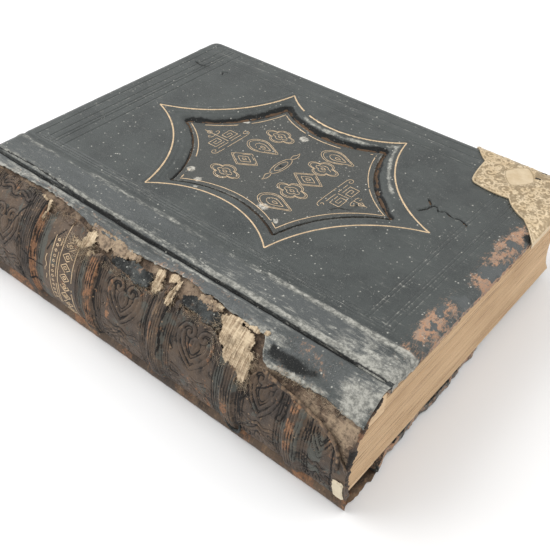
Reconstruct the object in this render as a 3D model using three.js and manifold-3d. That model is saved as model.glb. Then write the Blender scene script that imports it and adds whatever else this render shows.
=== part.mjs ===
// A large leather-bound family bible with a sunken star panel on its front cover,
// a rounded back with false raised bands, and one brass corner.
//
// The book lies on its back cover. Everything is modelled in the book's own frame, in
// millimetres: x runs from the front joint (0) towards the fore-edge, y from the tail (0)
// to the head, z up from the table. One group then moves the book so that the middle of
// its underside is the origin.

import * as THREE from 'three';
import { mergeVertices } from 'three/addons/utils/BufferGeometryUtils.js';
import Module from 'manifold-3d';

const wasm = await Module();
wasm.setup();

// ---------------------------------------------------------------- driving dimensions

const BOARD_HEIGHT = 330; // front board, tail to head
const BOARD_REACH = 229.8; // joint to fore-edge
const BOOK_THICKNESS = 72.9; // underside to the top of the front leather
const BACK_SLIP = 1.5; // the back board sits this much nearer the tail
const GAP = 0.3; // clearance between pieces that touch

const COVER_THICKNESS = 7;
const LEATHER = 1;
const TURN_IN = 0.8; // pared leather turned over the inner edges
const TURN_IN_WIDTH = 14;
const PASTEDOWN = 0.5;
const EDGE_WALL = 3.6; // upright part of a cover's edge, under the bevel
const BEVEL_RISE = 1.6; // height gained over the steep first part of the bevel
const BEVEL_WIDTH = 7;
const BEVEL_KNEE = 0.3; // share of the bevel's width that its steep first part takes
const SHARPEST_CORNER = 0.5; // an inset outline's corners keep at least this radius
const JOINT_EDGE = 0.4; // where the covers start, beside the joint line
const FRONT_CORNERS = [3, 6, 9, 3]; // radii: tail/joint, tail/fore-edge, head/fore-edge, head/joint
const BACK_CORNERS = [3, 14, 9, 3];

const BLOCK_TAIL = 2.5; // the leaves, from tail to head
const BLOCK_HEAD = 325.5;
const FORE_EDGE = 220; // reach of the leaves at the covers
const FORE_EDGE_HOLLOW = 14; // how far the middle leaves fall back
const LEAF_START = 2; // where a leaf that turns leaves its fold
const BACK_FOLD_REACH = 0.3; // the last folds end here, clear of the leaves that turn under them
const FOLD_ROUNDING = 1.2;
const FOLD_QUARTER = 0.25; // a gathering's fold is rounded over this share of its height at each side
const SECTION_COUNT = 8;

// The rounded back is an arc, and every layer on it is concentric.
const BACK_CENTRE = { x: 17.35, z: 27.64 };
const BACK_RADIUS = 44.9;
const CORD_RADIUS = 1.1;
const LINING = [0.3, 1.5]; // inner and outer distance from the folds
const CARD = [2.8, 4.3];
const BAND_STRIP = [4.6, 6.9];
const SPINE_SKIN = [4.6, 6.2];
const BAND_SKIN = [7.2, 8.8];
const JOINT_LINING = [2.6, 4.1];
const BAND_POSITIONS = [35, 80, 137, 195, 253, 306];
const BAND_WIDTH = 11;
const BAND_SLOPE = 2;
const BAND_CREST_SLACK = 0.1; // widens a band's crest so that both of its ends count as crest
const BAND_EDGE = 0.6; // the leather over a band thins to this at the band's ends
const BAND_EDGE_DEGREES = 6; // how soon it thickens from its top edge
const BAND_FADE = [194, 201]; // degrees over which it thins again towards the foot
const SETBACK = 1; // the spine's pieces end this far inside the covers and the leaves
const BACK_STEPS = 14; // straight facets of a layer on the back

// Where the layers lie round the back, in degrees from the fore-edge side, over the top.
const SPINE_TOP = 128;
const SPINE_BOTTOM = 203.5;
const CORD_SPAN = [137, 201];
const BAND_SPAN = [132, 198];
const LINING_SPAN = [137, 203];
const CARD_SPAN = [142.5, 202];
const JOINT_LINING_SPAN = [118, 141];
const HEADBAND_SPAN = [140, 198];
const TORN_TOP = 150; // near the tail the top of the spine leather is torn away to here
const TORN_FROM = 8; // the tear climbs from here
const TORN_TO = 28; // to here
const SPINE_FOOT = -31.6;
const SPINE_FOOT_SLANT = 1; // the back joint's strip is this much shorter on top
const JOINT_LINING_END = [70.2, 71.8]; // heights of the lining's end beside the front cover
const HEADBAND_RADIUS = 1.6;

const STAR_CENTRE = { x: 119, y: 167.5 };
const STAR_OUTER = { tip: 117, sideX: 78.2, sideY: 50.7, sideHollow: 20, slopeHollow: 14 };
const STAR_INNER = { tip: 88.5, sideX: 61, sideY: 43.5, sideHollow: 13, slopeHollow: 8.5 };
const STAR_DEPTH = 3.5;
const STAR_SIDE_STEPS = 6;
const CRACK = 0.5; // all round the sunken panel

const BRASS = 0.8;
const BRASS_REACH = GAP + BRASS;
const BRASS_SKIRT = 0.5; // the brass reaches this close to the cover's inner face
const BRASS_BEYOND = 6; // its outline runs this far past the cover before it is cut to shape
const BRASS_FORE_EDGE = { end: 78, outside: 81 }; // where the wing along the fore-edge ends
const BRASS_TAIL = { end: 155, outside: 152 }; // where the wing along the tail ends
// Its inner outline, from the fore-edge wing round the lobe: each curve's control point and end.
const BRASS_CURVES = [
  [[219, 71], [213, 63.5]],
  [[198, 62.5], [189, 60]],
  [[185, 58.5], [184.5, 55]],
  [[181.5, 42], [183.5, 30.5]],
  [[174, 24], [169.5, 13]],
];
const BRASS_CURVE_STEPS = 5;
const PIN_RADIUS = 1;
const PIN_STAND = 0.5;
const LOBE_PIN = { x: 189, y: 55.5 };
const EDGE_PIN = { y: 50, rise: 2.2 }; // rise above the cover's inner face

// ---------------------------------------------------------------- materials

const paint = (color, roughness, metalness = 0) => ({ color, roughness, metalness });
const COVER_LEATHER = paint(0x4b5050, 0.55);
const SPINE_LEATHER = paint(0x54493c, 0.7);
const WORN_LEATHER = paint(0x9a7450, 0.85);
const PAPER = paint(0xd7b991, 0.9);
const END_PAPER = paint(0xe2d0ac, 0.85);
const PASTEBOARD = paint(0x9c8460, 0.9);
const LINEN = paint(0xe3d7b6, 0.95);
const THREAD = paint(0xcdbd95, 0.9);
const GILT_BRASS = paint(0xc8b482, 0.35, 0.9);

const WELD = 1e-4; // points closer than this are one point

const book = new THREE.Group();

function add(name, geometry, finish) {
  const mesh = new THREE.Mesh(geometry, new THREE.MeshStandardMaterial(finish));
  mesh.name = name;
  book.add(mesh);
}

// ---------------------------------------------------------------- solid helpers

function toSolid(geometry) {
  const bare = geometry.clone();
  bare.deleteAttribute('normal');
  bare.deleteAttribute('uv');
  const merged = mergeVertices(bare, WELD);
  return new wasm.Manifold(new wasm.Mesh({
    numProp: 3,
    vertProperties: merged.attributes.position.array,
    triVerts: new Uint32Array(merged.index.array),
  }));
}

function toGeometry(solid) {
  const mesh = solid.getMesh();
  const geometry = new THREE.BufferGeometry();
  geometry.setAttribute('position', new THREE.BufferAttribute(new Float32Array(mesh.vertProperties), 3));
  geometry.setIndex(new THREE.BufferAttribute(new Uint32Array(mesh.triVerts), 1));
  geometry.computeVertexNormals();
  return geometry;
}

// An outline of [x, z] points, extruded along y.
function prismAlongY(outline, yStart, yEnd) {
  const shape = new THREE.Shape(outline.map(([x, z]) => new THREE.Vector2(x, z)));
  const geometry = new THREE.ExtrudeGeometry(shape, { depth: yEnd - yStart, bevelEnabled: false });
  geometry.rotateX(Math.PI / 2);
  geometry.translate(0, yEnd, 0);
  return geometry;
}

// An outline of [x, y] points, extruded upwards.
function prismUp(outline, zBottom, zTop) {
  const shape = new THREE.Shape(outline.map(([x, y]) => new THREE.Vector2(x, y)));
  const geometry = new THREE.ExtrudeGeometry(shape, { depth: zTop - zBottom, bevelEnabled: false });
  geometry.translate(0, 0, zBottom);
  return geometry;
}

// A closed skin through rings of points, with a flat cap on the first and the last ring.
// capAxes names the two coordinates in which the caps are flat.
function skin(rings, capAxes = ['x', 'y']) {
  const count = rings[0].length;
  const positions = rings.flat().flatMap((point) => [point.x, point.y, point.z]);
  const indices = [];
  for (let ring = 0; ring + 1 < rings.length; ring += 1) {
    for (let i = 0; i < count; i += 1) {
      const a = ring * count + i;
      const b = ring * count + ((i + 1) % count);
      indices.push(a, b, b + count, a, b + count, a + count);
    }
  }
  const last = (rings.length - 1) * count;
  const flat = (ring) => ring.map((point) => new THREE.Vector2(point[capAxes[0]], point[capAxes[1]]));
  for (const [a, b, c] of THREE.ShapeUtils.triangulateShape(flat(rings[0]), [])) {
    indices.push(c, b, a);
  }
  for (const [a, b, c] of THREE.ShapeUtils.triangulateShape(flat(rings[rings.length - 1]), [])) {
    indices.push(last + a, last + b, last + c);
  }
  const geometry = new THREE.BufferGeometry();
  geometry.setAttribute('position', new THREE.Float32BufferAttribute(positions, 3));
  geometry.setIndex(indices);
  return geometry;
}

// Outlines of [x, y] points stacked at their heights.
function stack(layers) {
  const rising = layers.toSorted(([, zA], [, zB]) => zA - zB);
  return skin(rising.map(([outline, z]) => outline.map(([x, y]) => new THREE.Vector3(x, y, z))));
}

// ---------------------------------------------------------------- outlines

// A rectangle with a radius of its own at each corner: tail/joint, tail/fore-edge,
// head/fore-edge, head/joint. Inset moves every side inwards.
function plateOutline({ left, right, tail, head, radii }, inset = 0) {
  const cornerSteps = 4;
  const sides = [
    [left + inset, tail + inset, 1, 1, Math.PI],
    [right - inset, tail + inset, -1, 1, 1.5 * Math.PI],
    [right - inset, head - inset, -1, -1, 0],
    [left + inset, head - inset, 1, -1, 0.5 * Math.PI],
  ];
  return sides.flatMap(([x, y, inX, inY, start], corner) => {
    const radius = Math.max(radii[corner] - inset, SHARPEST_CORNER);
    return Array.from({ length: cornerSteps + 1 }, (_, step) => {
      const angle = start + (step / cornerSteps) * 0.5 * Math.PI;
      return [
        x + inX * radius + radius * Math.cos(angle),
        y + inY * radius + radius * Math.sin(angle),
      ];
    });
  });
}

// Points of a circular arc from start to end that bows to its left by sagitta.
function bowedLine(start, end, sagitta, steps) {
  const chord = new THREE.Vector2(end[0] - start[0], end[1] - start[1]);
  const half = chord.length() / 2;
  const radius = (half * half + sagitta * sagitta) / (2 * sagitta);
  const left = new THREE.Vector2(-chord.y, chord.x).normalize();
  const middle = [(start[0] + end[0]) / 2, (start[1] + end[1]) / 2];
  const along = chord.clone().normalize();
  const spread = Math.asin(half / radius);
  return Array.from({ length: steps }, (_, step) => {
    const angle = spread * ((2 * step) / steps - 1);
    const forward = radius * Math.sin(angle);
    const out = radius * Math.cos(angle) - (radius - sagitta);
    return [
      middle[0] + along.x * forward + left.x * out,
      middle[1] + along.y * forward + left.y * out,
    ];
  });
}

// A six-pointed star with hollow sides, counter-clockwise from its lowest tip.
function starOutline({ tip, sideX, sideY, sideHollow, slopeHollow }, shrink = 0) {
  const reach = tip - shrink;
  const half = sideX - shrink;
  const tips = [[0, -reach], [half, -sideY], [half, sideY], [0, reach], [-half, sideY], [-half, -sideY]]
    .map(([x, y]) => [STAR_CENTRE.x + x, STAR_CENTRE.y + y]);
  return tips.flatMap((start, i) => {
    const hollow = i % 3 === 1 ? sideHollow : slopeHollow;
    return bowedLine(start, tips[(i + 1) % tips.length], hollow, STAR_SIDE_STEPS);
  });
}

// ---------------------------------------------------------------- the rounded back

const onBack = (offset, degrees) => {
  const angle = THREE.MathUtils.degToRad(degrees);
  const radius = BACK_RADIUS + offset;
  return [BACK_CENTRE.x + radius * Math.cos(angle), BACK_CENTRE.z + radius * Math.sin(angle)];
};

const foldX = (z) => BACK_CENTRE.x - Math.sqrt(BACK_RADIUS ** 2 - (z - BACK_CENTRE.z) ** 2);

// A layer of the back between two distances from the folds, seen from the tail.
function backLayer([inner, outer], [from, to], steps = BACK_STEPS) {
  const angles = Array.from({ length: steps + 1 }, (_, i) => from + ((to - from) * i) / steps);
  return [
    ...angles.map((degrees) => onBack(outer, degrees)),
    ...angles.reverse().map((degrees) => onBack(inner, degrees)),
  ];
}

const coverInside = { back: COVER_THICKNESS, front: BOOK_THICKNESS - COVER_THICKNESS };
const blockMiddle = (coverInside.back + coverInside.front) / 2;
const blockHalf = (coverInside.front - coverInside.back) / 2;
const foreEdgeX = (z) => FORE_EDGE - FORE_EDGE_HOLLOW * (1 - ((z - blockMiddle) / blockHalf) ** 2);

// ---------------------------------------------------------------- covers

const inset = (plate, amount) => ({
  left: plate.left + amount,
  right: plate.right - amount,
  tail: plate.tail + amount,
  head: plate.head - amount,
  radii: plate.radii.map((radius) => Math.max(radius - amount, SHARPEST_CORNER)),
});

// A cover's bevelled slab. Depths count from the cover's inner face, and up is 1 where the
// outer face looks up and -1 where it looks down.
function bevelledSlab(plate, zInside, up, innerDepth, lift) {
  return toSolid(stack([
    [plateOutline(plate), zInside + up * innerDepth],
    [plateOutline(plate), zInside + up * (EDGE_WALL + lift)],
    [plateOutline(plate, BEVEL_WIDTH * BEVEL_KNEE), zInside + up * (EDGE_WALL + BEVEL_RISE + lift)],
    [plateOutline(plate, BEVEL_WIDTH), zInside + up * (COVER_THICKNESS + lift)],
  ]));
}

const slab = (left, right, tail, head, zA, zB) => toSolid(prismUp(
  [[left, tail], [right, tail], [right, head], [left, head]],
  Math.min(zA, zB),
  Math.max(zA, zB),
));

// The hollow sides of the star, sunk from the top of the front cover.
function starSink(drop) {
  const clearance = 1;
  const zTop = BOOK_THICKNESS - drop;
  return toSolid(stack([
    [starOutline(STAR_INNER), zTop - STAR_DEPTH],
    [starOutline(STAR_OUTER), zTop],
    [starOutline(STAR_OUTER), zTop + clearance + drop],
  ]));
}

function addCover(name, plate, zInside, up, hasStar) {
  const window = {
    left: plate.left - TURN_IN_WIDTH,
    right: plate.right - TURN_IN_WIDTH,
    tail: plate.tail + TURN_IN_WIDTH,
    head: plate.head - TURN_IN_WIDTH,
  };
  const boardDepth = TURN_IN + GAP;
  let board = bevelledSlab(inset(plate, LEATHER + GAP), zInside, up, boardDepth, -LEATHER - GAP);
  let room = bevelledSlab(inset(plate, LEATHER), zInside, up, TURN_IN, -LEATHER);
  let leather = bevelledSlab(plate, zInside, up, 0, 0);
  if (hasStar) {
    board = board.subtract(starSink(LEATHER + GAP));
    room = room.subtract(starSink(LEATHER));
    leather = leather.subtract(starSink(0));
    const panelHole = starOutline(STAR_INNER);
    leather = leather.subtract(toSolid(prismUp(panelHole, zInside, BOOK_THICKNESS - STAR_DEPTH)));
  }
  const openInside = slab(
    window.left, window.right, window.tail, window.head,
    zInside - up, zInside + 2 * up * TURN_IN,
  );
  const openJoint = slab(
    window.left, plate.left + 2 * LEATHER, plate.tail + LEATHER, plate.head - LEATHER,
    zInside - up, zInside + up * (EDGE_WALL - LEATHER),
  );
  add(`${name}_board`, toGeometry(board), PASTEBOARD);
  const opened = leather.subtract(room).subtract(openInside).subtract(openJoint);
  add(`${name}_leather`, toGeometry(opened), COVER_LEATHER);
  const pastedown = [
    [plate.left + 2 * LEATHER, window.tail + GAP],
    [window.right - GAP, window.tail + GAP],
    [window.right - GAP, window.head - GAP],
    [plate.left + 2 * LEATHER, window.head - GAP],
  ];
  const sheet = [zInside, zInside + up * PASTEDOWN].sort((a, b) => a - b);
  add(`${name}_pastedown`, prismUp(pastedown, ...sheet), END_PAPER);
}

const frontPlate = {
  left: JOINT_EDGE, right: BOARD_REACH, tail: 0, head: BOARD_HEIGHT, radii: FRONT_CORNERS,
};
const backPlate = {
  ...frontPlate, tail: -BACK_SLIP, head: BOARD_HEIGHT - BACK_SLIP, radii: BACK_CORNERS,
};
addCover('back', backPlate, coverInside.back, -1, false);
addCover('front', frontPlate, coverInside.front, 1, true);

function addStarPanel() {
  const top = BOOK_THICKNESS - STAR_DEPTH;
  add('star_panel', prismUp(starOutline(STAR_INNER, CRACK), top - LEATHER, top), COVER_LEATHER);
}
addStarPanel();

// The leather strip that leads from the back cover to the foot of the spine.
function addBackJoint() {
  const outline = [[SPINE_FOOT, 0], [-GAP, 0], [-GAP, LEATHER], [SPINE_FOOT + SPINE_FOOT_SLANT, LEATHER]];
  const strip = prismAlongY(outline, frontPlate.tail + SETBACK, backPlate.head - SETBACK);
  add('back_joint_leather', strip, WORN_LEATHER);
}
addBackJoint();

// ---------------------------------------------------------------- brass corner

// The corner piece seen from above: a wing along each edge and a lobe between them.
function brassOutline() {
  const shape = new THREE.Shape();
  shape.moveTo(BOARD_REACH + BRASS_BEYOND, -BRASS_BEYOND);
  shape.lineTo(BOARD_REACH + BRASS_BEYOND, BRASS_FORE_EDGE.outside);
  shape.lineTo(BOARD_REACH, BRASS_FORE_EDGE.end);
  for (const [control, end] of BRASS_CURVES) {
    shape.quadraticCurveTo(...control, ...end);
  }
  shape.lineTo(BRASS_TAIL.end, 0);
  shape.lineTo(BRASS_TAIL.outside, -BRASS_BEYOND);
  return shape.getPoints(BRASS_CURVE_STEPS).map(({ x, y }) => [x, y]);
}

function pinCylinder(radius, length) {
  const sides = 12;
  return new THREE.CylinderGeometry(radius, radius, length, sides);
}

function addBrassCorner() {
  const zInside = coverInside.front;
  const grown = (amount) => bevelledSlab(inset(frontPlate, -amount), zInside, 1, BRASS_SKIRT, amount);
  const over = toSolid(prismUp(brassOutline(), zInside, BOOK_THICKNESS + BRASS_BEYOND));
  const bare = bevelledSlab(inset(frontPlate, -GAP), zInside, 1, 0, GAP);
  const holeRadius = PIN_RADIUS + GAP;

  const lobePinMiddle = BOOK_THICKNESS + BRASS_REACH - BRASS / 2;
  const lobePinGeometry = (radius) => pinCylinder(radius, BRASS)
    .rotateX(Math.PI / 2)
    .translate(LOBE_PIN.x, LOBE_PIN.y, lobePinMiddle);
  const edgePinLength = BRASS + PIN_STAND;
  const edgePinGeometry = (radius) => pinCylinder(radius, edgePinLength)
    .rotateZ(Math.PI / 2)
    .translate(BOARD_REACH + GAP + edgePinLength / 2, EDGE_PIN.y, zInside + EDGE_PIN.rise);

  const plate = grown(BRASS_REACH).intersect(over).subtract(bare)
    .subtract(toSolid(lobePinGeometry(holeRadius)))
    .subtract(toSolid(edgePinGeometry(holeRadius)));
  add('brass_corner', toGeometry(plate), GILT_BRASS);
  add('brass_pin_lobe', lobePinGeometry(PIN_RADIUS), GILT_BRASS);
  add('brass_pin_edge', edgePinGeometry(PIN_RADIUS), GILT_BRASS);
}
addBrassCorner();

// ---------------------------------------------------------------- leaves

// Leaves that turn, from the top down, and from the bottom up, with their thicknesses.
const FRONT_LEAVES = {
  front_flyleaf: 0.4, leaves_1: 2.2, leaves_2: 2.2, leaves_3: 3, leaves_4: 3, leaves_5: 3,
};
const BACK_LEAVES = { back_flyleaf: 0.4, back_leaves: 2.1 };

function leafOutline(zLow, zHigh) {
  return [[LEAF_START, zLow], [foreEdgeX(zLow), zLow], [foreEdgeX(zHigh), zHigh], [LEAF_START, zHigh]];
}

// Adds leaves one after another from a level, and returns the level that they reach.
function addTurningLeaves(leaves, start, direction) {
  let level = start;
  for (const [name, thickness] of Object.entries(leaves)) {
    const near = level + direction * GAP;
    level = near + direction * thickness;
    const outline = leafOutline(Math.min(near, level), Math.max(near, level));
    const finish = name.includes('flyleaf') ? END_PAPER : PAPER;
    add(name, prismAlongY(outline, BLOCK_TAIL, BLOCK_HEAD), finish);
  }
  return level;
}

// The sewn folds of leaves that turn stay on the rounded back.
function addSewnFolds(name, zLow, zHigh, reach) {
  const steps = 4;
  const back = Array.from({ length: steps + 1 }, (_, i) => zHigh + ((zLow - zHigh) * i) / steps);
  const outline = [[reach, zLow], [reach, zHigh], ...back.map((z) => [foldX(z), z])];
  add(name, prismAlongY(outline, BLOCK_TAIL, BLOCK_HEAD), PAPER);
}

// The gatherings between the turning leaves, each with a rounded fold.
function addSections(zLow, zHigh) {
  const pitch = (zHigh - zLow + GAP) / SECTION_COUNT;
  const height = pitch - GAP;
  for (let i = 0; i < SECTION_COUNT; i += 1) {
    const z = zLow + i * pitch;
    const at = (share) => z + height * share;
    const outline = [
      [foreEdgeX(at(0)), at(0)], [foreEdgeX(at(0.5)), at(0.5)], [foreEdgeX(at(1)), at(1)],
      [foldX(at(1)) + FOLD_ROUNDING, at(1)], [foldX(at(1 - FOLD_QUARTER)), at(1 - FOLD_QUARTER)],
      [foldX(at(FOLD_QUARTER)), at(FOLD_QUARTER)], [foldX(at(0)) + FOLD_ROUNDING, at(0)],
    ];
    add(`section_${i + 1}`, prismAlongY(outline, BLOCK_TAIL, BLOCK_HEAD), PAPER);
  }
}

const frontLeavesEnd = addTurningLeaves(FRONT_LEAVES, coverInside.front, -1);
const backLeavesEnd = addTurningLeaves(BACK_LEAVES, coverInside.back, 1);
addSewnFolds('front_sewn_folds', frontLeavesEnd, coverInside.front - GAP, LEAF_START - GAP);
addSewnFolds('back_sewn_folds', coverInside.back + GAP, backLeavesEnd, BACK_FOLD_REACH);
addSections(backLeavesEnd + GAP, frontLeavesEnd - GAP);

// ---------------------------------------------------------------- spine

const backPath = (offset, [from, to]) => {
  const angles = Array.from({ length: BACK_STEPS + 1 }, (_, i) => from + ((to - from) * i) / BACK_STEPS);
  const points = angles.map((degrees) => onBack(offset, degrees));
  return new THREE.CatmullRomCurve3(points.map(([x, z]) => new THREE.Vector3(x, 0, z)));
};

// A round cord that follows the back at a given place between tail and head.
function backCord(radius, offset, y, span) {
  const sides = 8;
  const section = new THREE.Shape(Array.from({ length: sides }, (_, i) => {
    const angle = (2 * Math.PI * i) / sides;
    return new THREE.Vector2(radius * Math.cos(angle), radius * Math.sin(angle));
  }));
  const settings = { steps: BACK_STEPS, extrudePath: backPath(offset, span), bevelEnabled: false };
  return new THREE.ExtrudeGeometry(section, settings).translate(0, y, 0);
}

function addCordsAndBands() {
  const halfStrip = BAND_WIDTH / 2 - BAND_SLOPE;
  BAND_POSITIONS.forEach((y, i) => {
    add(`sewing_cord_${i + 1}`, backCord(CORD_RADIUS, GAP + CORD_RADIUS, y, CORD_SPAN), THREAD);
    const strip = prismAlongY(backLayer(BAND_STRIP, BAND_SPAN), y - halfStrip, y + halfStrip);
    add(`raised_band_${i + 1}`, strip, PASTEBOARD);
  });
}

function addSpineLinings() {
  const beside = CORD_RADIUS + GAP;
  const besideCords = BAND_POSITIONS.flatMap((y) => [y - beside, y + beside]);
  const edges = [BLOCK_TAIL + SETBACK, ...besideCords, BLOCK_HEAD - SETBACK];
  const layer = backLayer(LINING, LINING_SPAN);
  for (let i = 0; i * 2 < edges.length; i += 1) {
    add(`spine_lining_${i + 1}`, prismAlongY(layer, edges[2 * i], edges[2 * i + 1]), LINEN);
  }
}

function addSpineCard() {
  const steps = 16;
  const layer = backLayer(CARD, CARD_SPAN, steps);
  const card = prismAlongY(layer, frontPlate.tail + SETBACK, frontPlate.head - SETBACK);
  add('spine_card', card, PASTEBOARD);
}

// The stations of the spine leather, from head to tail: every change of its raised bands,
// and even steps along the torn stretch near the tail.
function spineStations() {
  const tornSteps = 5;
  const tornLength = TORN_TO - TORN_FROM;
  const torn = Array.from({ length: tornSteps }, (_, i) => TORN_FROM + (tornLength * i) / tornSteps);
  const half = BAND_WIDTH / 2;
  const crest = half - BAND_SLOPE;
  const bands = BAND_POSITIONS.flatMap((y) => [y - half, y - crest, y + crest, y + half]);
  return [frontPlate.tail + SETBACK, ...torn, ...bands, frontPlate.head - SETBACK].reverse();
}

function addSpineLeather() {
  const steps = 18;
  const crest = BAND_WIDTH / 2 - BAND_SLOPE + BAND_CREST_SLACK;
  const bandEdge = BAND_SKIN[0] + BAND_EDGE;
  const { smoothstep, lerp } = THREE.MathUtils;
  const rings = spineStations().map((y) => {
    const onBand = BAND_POSITIONS.some((band) => Math.abs(y - band) < crest);
    const top = lerp(TORN_TOP, SPINE_TOP, smoothstep(y, TORN_FROM, TORN_TO));
    const angles = Array.from({ length: steps + 1 }, (_, i) => lerp(top, SPINE_BOTTOM, i / steps));
    const rise = (degrees) => smoothstep(degrees, top, top + BAND_EDGE_DEGREES)
      * (1 - smoothstep(degrees, ...BAND_FADE));
    const skinAt = (degrees) => (onBand ? lerp(bandEdge, BAND_SKIN[1], rise(degrees)) : SPINE_SKIN[1]);
    const outer = angles.map((degrees) => onBack(skinAt(degrees), degrees));
    const under = angles.map((degrees) => onBack(onBand ? BAND_SKIN[0] : SPINE_SKIN[0], degrees));
    return [...outer, ...under.reverse()].map(([x, z]) => new THREE.Vector3(x, y, z));
  });
  add('spine_leather', skin(rings, ['x', 'z']), SPINE_LEATHER);
}

function addJointLining() {
  const steps = 8;
  const end = -2 * GAP;
  const arc = backLayer(JOINT_LINING, JOINT_LINING_SPAN, steps);
  const outline = [...arc, ...JOINT_LINING_END.map((z) => [end, z])];
  const lining = prismAlongY(outline, frontPlate.tail + SETBACK, frontPlate.head - SETBACK);
  add('front_joint_lining', lining, LINEN);
}

function addHeadband() {
  const y = BLOCK_HEAD + GAP + HEADBAND_RADIUS;
  add('headband', backCord(HEADBAND_RADIUS, -HEADBAND_RADIUS - GAP, y, HEADBAND_SPAN), THREAD);
}

addCordsAndBands();
addSpineLinings();
addSpineCard();
addSpineLeather();
addJointLining();
addHeadband();

// The middle of the underside's outline becomes the origin.
const reachBehind = BACK_RADIUS + BAND_SKIN[1] - BACK_CENTRE.x;
const reachAhead = BOARD_REACH + BRASS_REACH + PIN_STAND;
book.position.set((reachBehind - reachAhead) / 2, (BACK_SLIP - BOARD_HEIGHT) / 2, 0);

export default book;
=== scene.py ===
"""A large old leather-bound family bible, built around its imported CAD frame.

Shapes are worked out in the book's own millimetres: x from the front joint to the
fore-edge, y from the tail to the head, z up from the table. place() turns them into the
frame's metres.
"""
import math

import bmesh
import bpy
import numpy as np
from mathutils import Matrix, Vector
from mathutils.bvhtree import BVHTree
from mathutils.kdtree import KDTree


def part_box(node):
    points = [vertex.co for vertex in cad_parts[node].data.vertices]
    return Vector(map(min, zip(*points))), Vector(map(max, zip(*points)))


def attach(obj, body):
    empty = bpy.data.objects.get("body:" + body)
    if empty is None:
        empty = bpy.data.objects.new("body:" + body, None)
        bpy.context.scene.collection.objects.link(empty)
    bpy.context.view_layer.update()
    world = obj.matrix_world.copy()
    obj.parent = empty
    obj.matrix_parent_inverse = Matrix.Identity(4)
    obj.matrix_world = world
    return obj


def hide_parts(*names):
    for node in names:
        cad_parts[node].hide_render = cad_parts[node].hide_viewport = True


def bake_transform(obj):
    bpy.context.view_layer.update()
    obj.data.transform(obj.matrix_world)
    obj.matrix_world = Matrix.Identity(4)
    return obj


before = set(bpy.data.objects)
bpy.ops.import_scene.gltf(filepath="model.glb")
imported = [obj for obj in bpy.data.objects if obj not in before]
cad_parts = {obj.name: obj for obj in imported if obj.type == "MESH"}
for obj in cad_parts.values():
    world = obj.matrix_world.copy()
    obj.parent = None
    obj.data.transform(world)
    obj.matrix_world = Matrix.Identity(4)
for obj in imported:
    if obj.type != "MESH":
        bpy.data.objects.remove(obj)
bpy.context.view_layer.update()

MM = 0.001
JOINT_EDGE = 0.4
leather_low, leather_high = (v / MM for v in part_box("front_leather"))
ORIGIN = np.array([leather_low.x - JOINT_EDGE, leather_low.y, 0.0])
HEIGHT = leather_high.y - leather_low.y
REACH = leather_high.x - leather_low.x + JOINT_EDGE
COVER_TOP = leather_high.z
COVER_INSIDE = leather_low.z
COVER = COVER_TOP - COVER_INSIDE
BLOCK_TAIL, BLOCK_HEAD = (v.y / MM - ORIGIN[1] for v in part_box("section_1"))
PANEL_TOP = (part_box("star_panel")[1] / MM).z

# The rounded back of the leaves, and how far outside their folds the spine's leather lies.
BACK_X, BACK_Z, BACK_R = 17.35, 27.64, 44.9
SKIN = 6.2
SPINE_LENGTH = 330.0
# Raised bands: their places along the spine, and how far they stand up.
BANDS = (35, 80, 137, 195, 253, 306)
BAND_RISE = 2.6
# A cover's edge: the height of its wall, the width of its bevel, the leather turned in below.
EDGE_WALL = 3.6
BEVEL = 7.0
TURN_IN = 15.0
# The height at which the front cover hinges.
FRONT_HINGE_Z = 72.9
STAR = np.array([119.0, 167.5])
STAR_OUTER = dict(tip=117, side_x=78.2, side_y=50.7, side_hollow=20, slope_hollow=14)
STAR_INNER = dict(tip=88.5, side_x=61, side_y=43.5, side_hollow=13, slope_hollow=8.5)


def place(points):
    """Book millimetres to frame metres."""
    return (np.asarray(points, float) + ORIGIN) * MM


def book_box(node):
    """The lowest and highest corners of a CAD node's box, in book millimetres."""
    return [np.array(corner / MM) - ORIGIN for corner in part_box(node)]


# ------------------------------------------------------------------ noise


def lattice(ix, iy, seed):
    """A repeatable random number from 0 to 1 for each whole-number pair."""
    h = (ix.astype(np.int64) * 374761393 + iy.astype(np.int64) * 668265263 + seed * 974711) & 0xFFFFFFFF
    h = ((h ^ (h >> 13)) * 1274126177) & 0xFFFFFFFF
    return ((h ^ (h >> 16)) & 0xFFFFFF) / float(0xFFFFFF)


def noise(x, y, seed=0):
    """Smooth noise from -1 to 1, one bump per unit."""
    x, y = np.broadcast_arrays(np.asarray(x, float), np.asarray(y, float))
    ix, iy = np.floor(x), np.floor(y)
    fx, fy = x - ix, y - iy
    fx, fy = fx * fx * (3 - 2 * fx), fy * fy * (3 - 2 * fy)
    low = lattice(ix, iy, seed) * (1 - fx) + lattice(ix + 1, iy, seed) * fx
    high = lattice(ix, iy + 1, seed) * (1 - fx) + lattice(ix + 1, iy + 1, seed) * fx
    return 2 * (low * (1 - fy) + high * fy) - 1


def rough(x, y, size, seed=0, octaves=4):
    """Layered noise whose largest bumps are size across."""
    total, weight = 0.0, 0.0
    for octave in range(octaves):
        scale, share = 2.0**octave / size, 0.55**octave
        total = total + share * noise(np.asarray(x) * scale, np.asarray(y) * scale, seed + 17 * octave)
        weight += share
    return total / weight


def ramp(value, low, high):
    """0 below low, 1 above high and smooth between them."""
    t = np.clip((value - low) / (high - low), 0, 1)
    return t * t * (3 - 2 * t)


def bump(value, centre, half_width):
    """1 at the centre, falling smoothly to 0 at half_width."""
    return 1 - ramp(np.abs(value - centre), 0, half_width)


# ------------------------------------------------------------------ mesh helpers


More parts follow.
